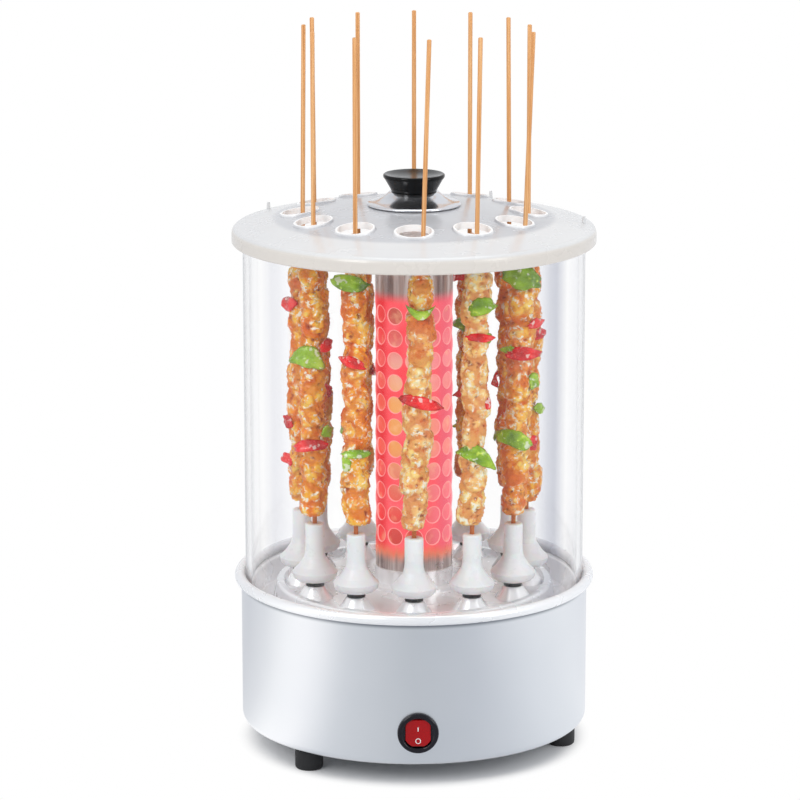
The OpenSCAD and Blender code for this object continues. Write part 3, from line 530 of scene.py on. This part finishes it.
def hot_wire():
    """Heating wire at an orange heat."""
    material, tree, shader = new_material("heating_wire", Roughness=0.5, Emission_Strength=1.0)
    cloud = spot_noise(tree, where(tree), 60.0, 2.0)
    for socket, cool, hot in (("Emission Color", linear(255, 110, 40), linear(255, 170, 90)),
                              ("Base Color", linear(90, 40, 30), linear(120, 60, 40))):
        tree.links.new(colours(tree, cloud, [(0.3, cool), (0.7, hot)]), shader.inputs[socket])
    return material


def lit_quartz():
    """Frosted quartz, lit orange from inside."""
    material, tree, shader = new_material("quartz", Emission_Strength=1.0)
    lit_from_here(tree, shader, use(tree, HEAT).outputs["Colour"])
    tint = two_tone(tree, linear(70, 26, 16), linear(52, 20, 14), 30.0)
    tree.links.new(tint, shader.inputs["Base Color"])
    wiped(tree, shader, 0.35, 0.5, 60.0)
    return material


def spindle_plastic():
    """Pale gear plastic, black on a band round the shoulder under each cup."""
    material, tree, shader = new_material("gear_plastic")
    z = parts_of(tree, where(tree))[2]
    low, over_low, under_high, high = SHOULDER_Z
    black = times(tree, rise_mm(tree, z, low, over_low), rise_mm(tree, z, high, under_high))
    pale = two_tone(tree, linear(232, 230, 222), linear(222, 219, 208), 25.0)
    tree.links.new(blended(tree, black, pale, linear(12, 12, 13)), shader.inputs["Base Color"])
    dent(tree, shader, wiped(tree, shader, 0.35, 0.5, 40.0), 0.01)
    return material


def silvered_drum():
    """Satin silver sheet, darker in the narrow shade right under the tray's rolled rim."""
    material, tree, shader = new_material("drum_steel", Metallic=1.0)
    z = parts_of(tree, where(tree))[2]
    grain = use(tree, GRAIN, Around=30.0, Up=900.0)
    silver = two_tone(tree, linear(242, 243, 245), linear(236, 238, 241), 9.0)
    shade = rise_mm(tree, z, RIM_UNDERSIDE_Z - 3.0, RIM_UNDERSIDE_Z)
    tree.links.new(blended(tree, shade, silver, linear(128, 132, 140)), shader.inputs["Base Color"])
    wiped(tree, shader, 0.28, 0.34, 22.0)
    dent(tree, shader, grain.outputs["Height"], 0.004)
    return material


HEAT = heat_behind_holes()
FINISHES = {
    "drum_steel": silvered_drum(),
    "plate_steel": sheet_metal("plate_steel", linear(172, 174, 178), linear(160, 163, 168),
                               0.36, 0.46),
    "deck_steel": sheet_metal("deck_steel", linear(178, 178, 176), linear(164, 165, 166),
                              0.32, 0.44),
    "motor_can": sheet_metal("motor_can", linear(150, 152, 156), linear(136, 139, 144),
                             0.34, 0.46),
    "screw_steel": sheet_metal("screw_steel", linear(186, 186, 188), linear(170, 171, 174),
                               0.22, 0.34),
    "tray_steel": sheet_metal("tray_steel", linear(252, 252, 253), linear(247, 248, 250),
                              0.24, 0.30, up=700.0, depth=0.0012, bright=0.4),
    "guard_steel": glowing_guard(),
    "ceramic": moulded("ceramic", linear(232, 226, 212), linear(220, 212, 196), 0.5, 0.7),
    "quartz": lit_quartz(),
    "heating_wire": hot_wire(),
    "rubber": moulded("rubber", linear(24, 24, 26), linear(34, 34, 36), 0.55, 0.75, depth=0.04),
    "switch_black": moulded("switch_black", linear(18, 16, 22), linear(24, 22, 30), 0.16, 0.26,
                            Specular_IOR_Level=0.3),
    "switch_red": moulded("switch_red", linear(146, 2, 8), linear(162, 4, 12), 0.12, 0.22,
                          Specular_IOR_Level=0.25, Coat_Weight=0.15, Coat_Roughness=0.05),
    "glass": clear_glass(),
    "lid_white": enamelled_lid(),
    "chrome": sheet_metal("chrome", linear(230, 231, 234), linear(220, 222, 226), 0.14, 0.22,
                          up=900.0, depth=0.0005),
    "knob_black": moulded("knob_black", linear(7, 7, 8), linear(12, 12, 13), 0.12, 0.20,
                          Specular_IOR_Level=0.2),
    "gear_plastic": spindle_plastic(),
    "cup_white": moulded("cup_white", linear(240, 240, 240), linear(234, 235, 236), 0.24, 0.36,
                         scale=40.0, Subsurface_Weight=0.3, Subsurface_Scale=0.006),
}
MEAT = grilled_meat()
BAMBOO = bamboo()
GREEN = pepper_skin("green_pepper", linear(84, 122, 2), linear(148, 190, 16), linear(206, 228, 80))
RED = pepper_skin("red_pepper", linear(178, 2, 6), linear(246, 10, 18), linear(255, 84, 76))
MARK_WHITE = moulded("mark_white", linear(246, 246, 246), linear(238, 238, 238), 0.3, 0.4)


# ---------------------------------------------------------------- pieces

def placed(name, bm):
    """An object in the scene with the given mesh."""
    mesh = bpy.data.meshes.new(name)
    bm.to_mesh(mesh)
    bm.free()
    made = bpy.data.objects.new(name, mesh)
    bpy.context.collection.objects.link(made)
    return made


def new_piece(name, bm, materials, body):
    """A smooth mesh piece that rides on a body and takes the finishes it is given."""
    bmesh.ops.recalc_face_normals(bm, faces=bm.faces)
    piece = placed(name, bm)
    for face in piece.data.polygons:
        face.use_smooth = True
    for material in materials:
        piece.data.materials.append(material)
    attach(piece, body)
    return piece


def on_ring(radius, height, steps):
    """Evenly spaced places round an upright axis."""
    turns = (2 * math.pi * k / steps for k in range(steps))
    return [Vector((radius * math.cos(a), radius * math.sin(a), height)) for a in turns]


def lathe(bm, profile, place, steps):
    """Turns a closed or open profile of (radius, height) in mm round an upright axis."""
    rings = []
    for radius, height in profile:
        spots = on_ring(radius, height, steps) if radius > 0 else [Vector((0, 0, height))]
        rings.append([bm.verts.new((place @ spot) * MM) for spot in spots])
    for low, high in zip(rings, rings[1:]):
        for k in range(steps):
            after = (k + 1) % steps
            corners = [low[k % len(low)], low[after % len(low)],
                       high[after % len(high)], high[k % len(high)]]
            corners = [c for n, c in enumerate(corners) if c not in corners[:n]]
            if len(corners) > 2:
                bm.faces.new(corners)


def bridged(bm, rings):
    """Joins each ring of vertices to the next with a band of faces."""
    for first, second in zip(rings, rings[1:]):
        for k in range(len(first)):
            after = (k + 1) % len(first)
            bm.faces.new((first[k], first[after], second[after], second[k]))


def kept_within(value, least, most):
    """The value, or the end of the range that it went past."""
    return min(max(value, least), most)


def leaned(bm, lean):
    """Leans whatever stands over the cup's mouth to the right, as the sticks in the photo do."""
    slope = math.tan(math.radians(lean))
    for v in bm.verts:
        v.co.x += slope * max(0.0, v.co.z - CUP_MOUTH_Z * MM)


def stick(number, place, lean):
    """One bamboo stick cut flat at both ends, slightly uneven along its length."""
    top = STICK_Z0 + STICK_LENGTH
    bands = 30
    profile = [(0, STICK_Z0), (STICK_R * 0.8, STICK_Z0)]
    for k in range(bands + 1):
        z = STICK_Z0 + 0.6 + (STICK_LENGTH - 1.0) * k / bands
        wander = 0.97 + 0.03 * noise.noise(Vector((number * 7.1, z * 0.05, 0)))
        profile.append((STICK_R * wander, z))
    profile += [(STICK_R * 0.7, top), (0, top)]
    bm = bmesh.new()
    lathe(bm, profile, place, 16)
    leaned(bm, lean)
    new_piece(f"kebab_{number:02d}_stick", bm, [BAMBOO], f"skewer_{number:02d}")


# Chunks of meat: ranges of height, shift from the stick and radius in millimetres, of depth over
# width, and of lean in radians. The next one starts at CHUNK_PITCH of a chunk's height, and half
# its height is drawn out to CHUNK_HALF, so that they overlap. None is shorter than CHUNK_LEAST.
CHUNK_TALL = (11.0, 24.0)
CHUNK_SHIFT = (0.2, 1.1)
CHUNK_R = (7.0, 8.1)
CHUNK_SQUASH = (0.84, 1.0)
CHUNK_LEAN = (-0.22, 0.22)
CHUNK_LEAST = 7.0
CHUNK_STOP = 5.0
CHUNK_PITCH = 0.9
CHUNK_HALF = 0.56
CHUNK_END_GAP = 0.2
MEAT_VOXEL = 0.72


def meat_chunks(rng, place):
    """The threaded chunks as overlapping blunt blocks, before they are joined."""
    bm = bmesh.new()
    z = FOOD_Z0 + CHUNK_END_GAP
    while z < FOOD_Z1 - CHUNK_STOP:
        last = FOOD_Z1 - CHUNK_END_GAP - z
        tall = rng.uniform(*CHUNK_TALL)
        if last - tall < CHUNK_LEAST:
            tall = last
        turn = rng.uniform(0, 2 * math.pi)
        shift = rng.uniform(*CHUNK_SHIFT)
        across = rng.uniform(*CHUNK_R)
        deep = across * rng.uniform(*CHUNK_SQUASH)
        at = Matrix.Translation((shift * math.cos(turn), shift * math.sin(turn), z + tall / 2))
        lean = (Matrix.Rotation(rng.uniform(*CHUNK_LEAN), 4, "X")
                @ Matrix.Rotation(rng.uniform(*CHUNK_LEAN), 4, "Y"))
        half = tall / 2 if tall == last else tall * CHUNK_HALF
        shape = place @ at @ Matrix.Rotation(turn, 4, "Z") @ lean
        for v in bmesh.ops.create_icosphere(bm, subdivisions=4, radius=1.0)["verts"]:
            flat = math.hypot(v.co.x, v.co.y)
            blunt = flat ** -0.45 if flat > 1e-6 else 0.0
            high = math.copysign(abs(v.co.z) ** 0.62, v.co.z)
            v.co = shape @ Vector((v.co.x * blunt * across, v.co.y * blunt * deep, high * half))
        z += tall * CHUNK_PITCH
    for v in bm.verts:
        v.co *= MM
    return bm


def joined(bm, voxel_mm):
    """The same shape as one closed skin."""
    draft = placed("draft", bm)
    rough = draft.data
    skin = draft.modifiers.new("skin", "REMESH")
    skin.mode = "VOXEL"
    skin.voxel_size = voxel_mm * MM
    shown = draft.evaluated_get(bpy.context.evaluated_depsgraph_get())
    done = bpy.data.meshes.new_from_object(shown)
    bpy.data.objects.remove(draft)
    bpy.data.meshes.remove(rough)
    out = bmesh.new()
    out.from_mesh(done)
    bpy.data.meshes.remove(done)
    return out


# How pale the meat is at its top and its foot, on the sticks seen best, and on all others
PALE = {1: (0.2, 1.4), 2: (1.2, 1.5), 3: (0.2, 0.3), 11: (0.0, 0.0), 12: (0.0, 0.2)}
PALE_ELSEWHERE = (0.1, 0.1)


def meat(number, rng, place, axis, lean):
    """Meat with creases, torn fibres and small lumps."""
    bm = joined(meat_chunks(rng, place), MEAT_VOXEL)
    bm.normal_update()
    crease_shade = bm.verts.layers.float.new("crease_shade")
    pale = bm.verts.layers.float.new("pale")
    top_pale, foot_pale = PALE.get(number, PALE_ELSEWHERE)
    seed = Vector((number * 31.7, number * 3.3, 0))
    moves = []
    for v in bm.verts:
        p = v.co / MM + seed
        q = Vector((p.x, p.y, p.z * 1.3))
        big = noise.noise(p * 0.13)
        fold = 1.0 - 2.2 * abs(noise.noise(q * 0.21))
        lump = 1.0 - 2.0 * abs(noise.noise(q * 0.42))
        small = noise.noise(p * 0.95)
        lift = 0.6 * big + 0.78 * (fold - 0.4) + 0.62 * (lump - 0.4) + 0.25 * small
        # painted shade: how strongly the meat is darkened where the surface dips
        v[crease_shade] = kept_within((-0.3 - lift) * 1.3, 0.0, 0.85)
        down = (FOOD_Z1 - v.co.z / MM) / (FOOD_Z1 - FOOD_Z0)
        patch = 0.5 * noise.noise(p * 0.07)
        v[pale] = kept_within(top_pale + (foot_pale - top_pale) * down + patch, 0.0, 1.0)
        moves.append(v.normal * lift * MM)
    for v, move in zip(bm.verts, moves):
        v.co += move
        flat = Vector((v.co.x - axis.x, v.co.y - axis.y))
        if flat.length > FOOD_REACH * MM:
            flat *= FOOD_REACH * MM / flat.length
            v.co.x, v.co.y = axis.x + flat.x, axis.y + flat.y
        v.co.z = kept_within(v.co.z, FOOD_Z0 * MM, FOOD_Z1 * MM)
    leaned(bm, lean)
    return new_piece(f"kebab_{number:02d}_meat", bm, [MEAT], f"skewer_{number:02d}")


def pepper_slice(bm, rng, at, kind):
    """One bent slice, held against the meat and facing outwards."""
    z, width, height, heading, roll, pitch, out, shift, wrap, bow = at
    rings, steps = 7, 26
    knots = [rng.uniform(0.72, 1.16) for _ in range(steps)]
    rim = [(knots[k - 1] + 2 * knots[k] + knots[(k + 1) % steps]) / 4 for k in range(steps)]

    def point(s, k, side):
        """A place on one face of the slice, s from its middle to its rim."""
        a = 2 * math.pi * k / steps
        x = width / 2 * s * math.copysign(abs(math.cos(a)) ** 0.8, math.cos(a)) * rim[k]
        y = height / 2 * s * math.copysign(abs(math.sin(a)) ** 1.35, math.sin(a)) * rim[k]
        share = x / (width / 2)
        thick = SLICE_HALF_THICK * math.sqrt(max(0.0, 1 - s ** 4)) * side
        fold = (0.55 * math.sin(2.3 * x / 3 + z) + 0.45 * math.sin(3 * a + z)) * s
        return Vector((x, y + bow * share * share, thick - wrap * share * share + fold))

    place = (Matrix.Translation((0, 0, z)) @ Matrix.Rotation(math.radians(heading), 4, "Z")
             @ Matrix.Translation((shift, -out, 0))
             @ Matrix.Rotation(math.radians(90 - pitch), 4, "X")
             @ Matrix.Rotation(math.radians(roll), 4, "Z"))
    loops = []
    centre = []
    for side in (1, -1):
        centre.append(bm.verts.new(place @ point(0, 0, side)))
        for r in range(1, rings + 1):
            if side == -1 and r == rings:
                continue
            loops.append([bm.verts.new(place @ point(r / rings, k, side)) for k in range(steps)])
    top, bottom = loops[:rings], loops[rings:] + [loops[rings - 1]]
    for first, half in ((centre[0], top), (centre[1], bottom)):
        for k in range(steps):
            after = (k + 1) % steps
            bm.faces.new((first, half[0][k], half[0][after])).material_index = kind
            for low, high in zip(half, half[1:]):
                corners = (low[k], high[k], high[after], low[after])
                bm.faces.new(corners).material_index = kind


# Slices of pepper on the sticks seen best: colour (0 green, 1 red), height, width, height of the
# slice, heading (0 is the front, to the right is positive), roll, pitch, distance from the stick,
# shift to the right, wrap round the meat and bow of its ends, in millimetres and degrees
SLICES = {
    1: [
        (0, 264.5, 16.5, 5.5, 0, 0, 10, 8.6, -0.2, 3.0, 6.0),
        (1, 215.5, 27.0, 7.5, 0, -13, 18, 8.8, 1.0, 2.6, 0.5),
    ],
    2: [
        (0, 268, 17.5, 11.0, 6, 12, 14, 8.4, 2.6, 3.4, -1.5),
        (1, 250, 17.5, 5.5, 6, -5, 24, 8.3, 2.0, 2.8, 0.8),
        (0, 249, 7.0, 6.0, 50, 20, 10, 8.2, 2.0, 0.5, 0.0),
        (1, 211, 7.0, 9.5, 55, 0, 0, 8.2, 2.0, 0.5, 0.0),
        (0, 184, 25.0, 10.0, 4, -24, 22, 8.6, 1.5, 3.6, -2.5),
    ],
    3: [
        (0, 280, 25.0, 14.0, -2, -8, 14, 8.5, -1.0, 4.0, -2.0),
        (1, 252.5, 14.0, 5.5, 40, 12, 20, 7.6, 4.0, 0.6, 0.0),
        (1, 236, 22.0, 8.0, 4, -3, 18, 8.6, 1.0, 3.0, 0.5),
        (0, 238, 10.0, 4.0, -30, 6, 20, 8.2, -4.0, 0.6, 0.0),
        (0, 219, 10.0, 9.5, 50, 18, 5, 8.0, 3.0, 0.6, 0.0),
        (0, 187, 24.0, 10.0, -6, -17, 16, 8.7, -1.0, 3.4, -1.0),
        (1, 182, 9.0, 9.5, 55, 0, 0, 8.2, 4.5, 0.4, 0.0),
    ],
    4: [
        (1, 240, 12.0, 7.0, 30, 10, 15, 8.2, 3.0, 1.0, 0.0),
        (0, 196, 14.0, 7.0, 60, -10, 10, 8.2, 1.0, 1.0, 0.0),
        (1, 158, 9.0, 3.5, -40, 5, 10, 8.0, -3.0, 0.5, 0.0),
    ],
    10: [
        (1, 257, 14.0, 9.0, -50, 14, 8, 8.0, -3.0, 0.8, 0.0),
        (1, 188, 12.0, 7.0, -48, -24, 10, 8.0, -3.0, 0.8, 0.0),
        (1, 166, 13.0, 7.0, -50, -10, 10, 8.0, -4.5, 0.6, -1.0),
    ],
    11: [
        (0, 234, 21.0, 14.0, -6, -16, 10, 8.6, -2.0, 3.6, -3.0),
        (1, 240, 13.0, 6.5, 45, 28, 20, 7.8, 3.0, 0.6, 0.0),
        (1, 183, 22.5, 7.5, -2, 6, 18, 8.7, -1.0, 3.0, 0.0),
        (0, 190, 11.0, 7.5, 50, 16, 8, 8.0, 3.0, 0.6, 0.0),
    ],
    12: [
        (0, 281, 24.0, 9.5, -4, -8, 14, 8.6, -2.4, 3.0, 1.0),
        (1, 236, 18.0, 6.5, -4, -22, 20, 8.6, -1.5, 2.8, 0.6),
        (0, 184, 18.0, 6.0, 4, 4, 18, 8.6, 0.5, 3.0, 1.0),
        (0, 178, 7.0, 10.0, -30, 10, 0, 8.6, -1.0, 0.5, 0.0),
    ],
}

# Half a slice's thickness in its middle
SLICE_HALF_THICK = 0.75

# Slices on the other sticks: how many, the first one's height over the food's foot, and the step
OTHER_SLICES = 4
OTHER_FIRST = 26.0
OTHER_STEP = 34.0

# How far the sticks seen best lean to the right, in degrees
LEANS = {1: 1.7, 2: 0.8, 3: 2.0, 10: 0.6, 5: -0.5, 9: -0.4}


def pepper(number, rng, place, lean):
    """The slices of one stick, as one piece of two colours."""
    rows = SLICES.get(number)
    if rows is None:
        rows = [(k % 2, FOOD_Z0 + OTHER_FIRST + OTHER_STEP * k + rng.uniform(-8, 8),
                 rng.uniform(17, 22), rng.uniform(7, 11), rng.uniform(0, 360),
                 rng.uniform(-18, 18), rng.uniform(5, 20), 8.5, rng.uniform(-1, 1),
                 3.2, rng.uniform(-2, 2))
                for k in range(OTHER_SLICES)]
    bm = bmesh.new()
    for kind, *at in rows:
        pepper_slice(bm, rng, at, kind)
    for v in bm.verts:
        v.co = (place @ v.co) * MM
    leaned(bm, lean)
    new_piece(f"kebab_{number:02d}_pepper", bm, [GREEN, RED], f"skewer_{number:02d}")


def kebab(number):
    """Everything threaded on one stick, over its cup."""
    rng = random.Random(4100 + number)
    turn = math.radians(-90 + 360 / CUP_COUNT * (number - 1))
    place = Matrix.Translation((CUP_RING_R * math.cos(turn), CUP_RING_R * math.sin(turn), 0))
    axis = place.translation * MM
    lean = LEANS.get(number, 0.0)
    body = meat(number, rng, place, axis, lean)
    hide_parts(f"skewer_{number:02d}")
    stick(number, place, lean)
    pepper(number, rng, place, lean)


def spun(name, profile, steps, finish, body):
    """A piece turned or spun round the grill's own axis."""
    bm = bmesh.new()
    lathe(bm, profile, Matrix.Identity(4), steps)
    bmesh.ops.remove_doubles(bm, verts=bm.verts, dist=1e-7)
    return new_piece(name, bm, [FINISHES[finish]], body)


def heater_glow():
    """The heat that fills the guard's holes, as a thin skin of light inside the tube."""
    inner = GLOW_R - GLOW_WALL
    spun("heater_glow", [(GLOW_R, GLOW_Z0), (GLOW_R, GLOW_Z1), (inner, GLOW_Z1), (inner, GLOW_Z0),
                         (GLOW_R, GLOW_Z0)], 72, "quartz", "base")


# Profiles as radius and height over the knob's or the dish's foot
KNOB_PROFILE = [
    (0, 0), (12.6, 0), (13.0, 0.4), (13.5, 1.6), (15.2, 4.6), (16.7, 7.1), (17.4, 8.0),
    (17.58, 8.8), (17.4, 9.5), (16.8, 9.9), (16.0, 9.8), (13.0, 9.1), (9.0, 8.5), (4.5, 8.2),
    (0, 8.1)]
DISH_PROFILE = [
    (3.0, 1.7), (19.0, 1.3), (25.7, 0), (26.4, 0.1), (26.7, 0.6), (26.5, 1.1), (25.6, 1.5),
    (23.2, 2.2), (20.4, 3.2), (17.5, 4.7), (15.4, 6.4), (14.1, 7.6), (13.2, 7.9), (3.0, 7.9),
    (3.0, 1.7)]


def turned_knob():
    """The black knob: a straight flare up to a rounded edge and a slightly hollow top."""
    profile = [(radius, KNOB_Z0 + height) for radius, height in KNOB_PROFILE]
    knob = spun("turned_knob", profile, 96, "knob_black", "lid")
    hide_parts("lid_knob")


def pressed_dish():
    """The chrome dish under the knob: a flare with a rolled edge."""
    profile = [(radius, DISH_Z0 + height) for radius, height in DISH_PROFILE]
    dish = spun("pressed_dish", profile, 96, "chrome", "lid")
    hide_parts("knob_dish")


def rocker_face(y):
    """The frame of the rocker's face at a height over or under its middle, looking out of it."""
    slope = math.atan2(ROCKER_END - ROCKER_MIDDLE, ROCKER_HALF)
    rocker = (Matrix.Rotation(math.radians(SWITCH_TURN), 4, "Z")
              @ Matrix.Translation((0, -DRUM_R, SWITCH_Z))
              @ Matrix.Rotation(math.radians(90), 4, "X")
              @ Matrix.Translation((0, 0, ROCKER_PIVOT))
              @ Matrix.Rotation(math.radians(-ROCKER_TILT), 4, "X"))
    return (rocker @ Matrix.Translation((0, y, ROCKER_MIDDLE + abs(y) * math.tan(slope)))
            @ Matrix.Rotation(math.copysign(slope, y), 4, "X"))


def rocker_marks():
    """The bar and the ring moulded in white on the rocker's two faces."""
    face = rocker_face(MARK_ON_Y)
    bm = bmesh.new()
    turns = [2 * math.pi * (k + 0.5) / 16 for k in range(16)]
    outline = [(BAR_R * math.cos(a), math.copysign(BAR_REACH, math.sin(a)) + BAR_R * math.sin(a))
               for a in turns]
    low = [bm.verts.new(face @ Vector((x, y, 0.0)) * MM) for x, y in outline]
    high = [bm.verts.new(face @ Vector((x * 0.85, y * 0.95, MARK_RAISED)) * MM)
            for x, y in outline]
    bm.faces.new(low)
    bm.faces.new(high)
    bridged(bm, [low, high])
    new_piece("rocker_mark_on", bm, [MARK_WHITE], "rocker")

    face = rocker_face(MARK_OFF_Y)
    bm = bmesh.new()
    profile = [(RING_INNER_R, 0.0), (RING_INNER_R + 0.05, MARK_RAISED),
               (RING_OUTER_R - 0.05, MARK_RAISED), (RING_OUTER_R, 0.0)]
    rings = [[bm.verts.new(face @ spot * MM) for spot in on_ring(radius, height, 32)]
             for radius, height in profile]
    bridged(bm, rings + rings[:1])
    new_piece("rocker_mark_off", bm, [MARK_WHITE], "rocker")


# ---------------------------------------------------------------- studio

def studio_bands():
    """What polished pieces mirror: white behind, a soft box at the left, and greyer in front."""
    tree, ins, outs = new_group("studio_bands", [("Vector", "NodeSocketVector", None)],
                                [("Colour", "NodeSocketColor")])
    x, y, _ = parts_of(tree, ins.outputs[0])
    turn = maths(tree, "ARCTAN2", x, times(tree, y, -1.0))
    share = maths(tree, "MULTIPLY_ADD", turn, 0.5 / math.pi, 0.5)
    bands = colours(tree, share, [
        (0.0, (0.9, 0.91, 0.93, 1)), (0.14, (0.66, 0.68, 0.72, 1)), (0.22, (0.80, 0.82, 0.85, 1)),
        (0.28, (1.08, 1.09, 1.1, 1)), (0.33, (1.08, 1.08, 1.1, 1)), (0.39, (0.66, 0.69, 0.73, 1)),
        (0.5, (0.54, 0.57, 0.61, 1)), (0.60, (0.58, 0.61, 0.66, 1)), (0.70, (0.82, 0.85, 0.89, 1)),
        (0.80, (0.93, 0.95, 0.98, 1)), (0.88, (0.86, 0.88, 0.92, 1)), (1.0, (0.9, 0.91, 0.93, 1))])
    tree.links.new(bands, outs.inputs[0])
    return tree


BANDS = studio_bands()

# Floor: radii of its rings, and the band where its shaded middle turns to plain white
FLOOR_RINGS = (0, 400, 1200, 14000)
FLOOR_SHADE = (88.0, 104.0)

# Lamps: place, width and height in metres, and watts. All of them point at LAMP_AIM.
LAMP_AIM = Vector((0, 0, 0.2))
LAMPS = {
    "key": ((-1.3, -1.5, 1.5), (0.7, 1.2), 13.0),
    "fill": ((1.6, -1.1, 1.0), (0.5, 1.2), 8.0),
    "top": ((0.1, 0.2, 2.2), (1.2, 1.2), 9.0),
}

# The photograph's viewpoint, in metres, degrees and millimetres of lens
CAMERA_AT = (0, -2.105, 0.6827)
CAMERA_DOWN = 12.92
CAMERA_LENS = 169.2
CAMERA_SHIFT = -0.0175


def plain_surroundings(tree, place):
    """1 for rays that see the studio itself, and its white, or the bands where it is mirrored."""
    path = put(tree, "ShaderNodeLightPath").node
    glossy, through = path.outputs["Is Glossy Ray"], path.outputs["Is Transmission Ray"]
    seen = maths(tree, "MAXIMUM", path.outputs["Is Camera Ray"],
                 maths(tree, "MAXIMUM", glossy, through))
    mirror = maths(tree, "GREATER_THAN", glossy, through)
    bands = use(tree, BANDS, Vector=place).outputs["Colour"]
    return seen, blended(tree, mirror, WHITE, bands)


def white_floor():
    """Pale floor that turns to plain white away from the drum."""
    bm = bmesh.new()
    lathe(bm, [(radius, 0) for radius in FLOOR_RINGS], Matrix.Identity(4), 64)
    floor = placed("floor", bm)
    material, tree, shader = new_material(
        "floor_paper", Base_Color=(0.93, 0.93, 0.935, 1), Roughness=0.9, Specular_IOR_Level=0.1)
    place = where(tree)
    x, y, _ = parts_of(tree, place)
    seen, colour = plain_surroundings(tree, place)
    share = times(tree, seen, rise_mm(tree, distance(tree, x, y), *FLOOR_SHADE))
    white = put(tree, "ShaderNodeEmission", {"Color": colour, "Strength": 1.0})
    mixed = put(tree, "ShaderNodeMixShader", {0: share, 1: shader.outputs[0], 2: white})
    tree.links.new(mixed, tree.nodes["Material Output"].inputs[0])
    floor.data.materials.append(material)


def even_sky():
    """A soft, even light from all sides, seen as plain white."""
    world = bpy.data.worlds.new("studio_white")
    bpy.context.scene.world = world
    world.use_nodes = True
    tree = world.node_tree
    tree.nodes.clear()
    seen, colour = plain_surroundings(tree, put(tree, "ShaderNodeTexCoord"))
    sky = put(tree, "ShaderNodeBackground", {"Color": (0.96, 0.98, 1, 1), "Strength": 0.72})
    white = put(tree, "ShaderNodeBackground", {"Color": colour, "Strength": 1.0})
    mixed = put(tree, "ShaderNodeMixShader", {0: seen, 1: sky, 2: white})
    tree.links.new(mixed, tree.nodes.new("ShaderNodeOutputWorld").inputs[0])


def soft_lamps():
    """Three large lamps, all aimed at the grill."""
    for name, (at, size, watts) in LAMPS.items():
        lamp = bpy.data.lights.new(name, "AREA")
        lamp.shape = "RECTANGLE"
        lamp.size, lamp.size_y = size
        lamp.energy = watts
        holder = bpy.data.objects.new(name, lamp)
        holder.location = at
        holder.rotation_euler = (LAMP_AIM - Vector(at)).to_track_quat("-Z", "Y").to_euler()
        bpy.context.collection.objects.link(holder)


def photo_camera():
    """A long lens that looks down on the grill, whose axis is a little right of the middle."""
    data = bpy.data.cameras.new("photo_camera")
    data.sensor_width = 36.0
    data.lens = CAMERA_LENS
    data.shift_x = CAMERA_SHIFT
    camera = bpy.data.objects.new("photo_camera", data)
    camera.location = CAMERA_AT
    camera.rotation_euler = (math.radians(90 - CAMERA_DOWN), 0, 0)
    bpy.context.collection.objects.link(camera)
    bpy.context.scene.camera = camera


def finish_solids():
    """Gives each of the part's solids the finish of its slot."""
    slots = {part["node"]: part["material_slot"] for part in frame["record"]["subparts"]}
    for name, node in frame["nodes"].items():
        finish = FINISHES.get(slots.get(name))
        if finish is not None:
            for holder in node.material_slots:
                holder.link = "OBJECT"
                holder.material = finish


photo_camera()
white_floor()
even_sky()
soft_lamps()
bpy.context.scene.view_settings.view_transform = "Standard"

finish_solids()
for number in range(1, CUP_COUNT + 1):
    kebab(number)
heater_glow()
turned_knob()
pressed_dish()
rocker_marks()
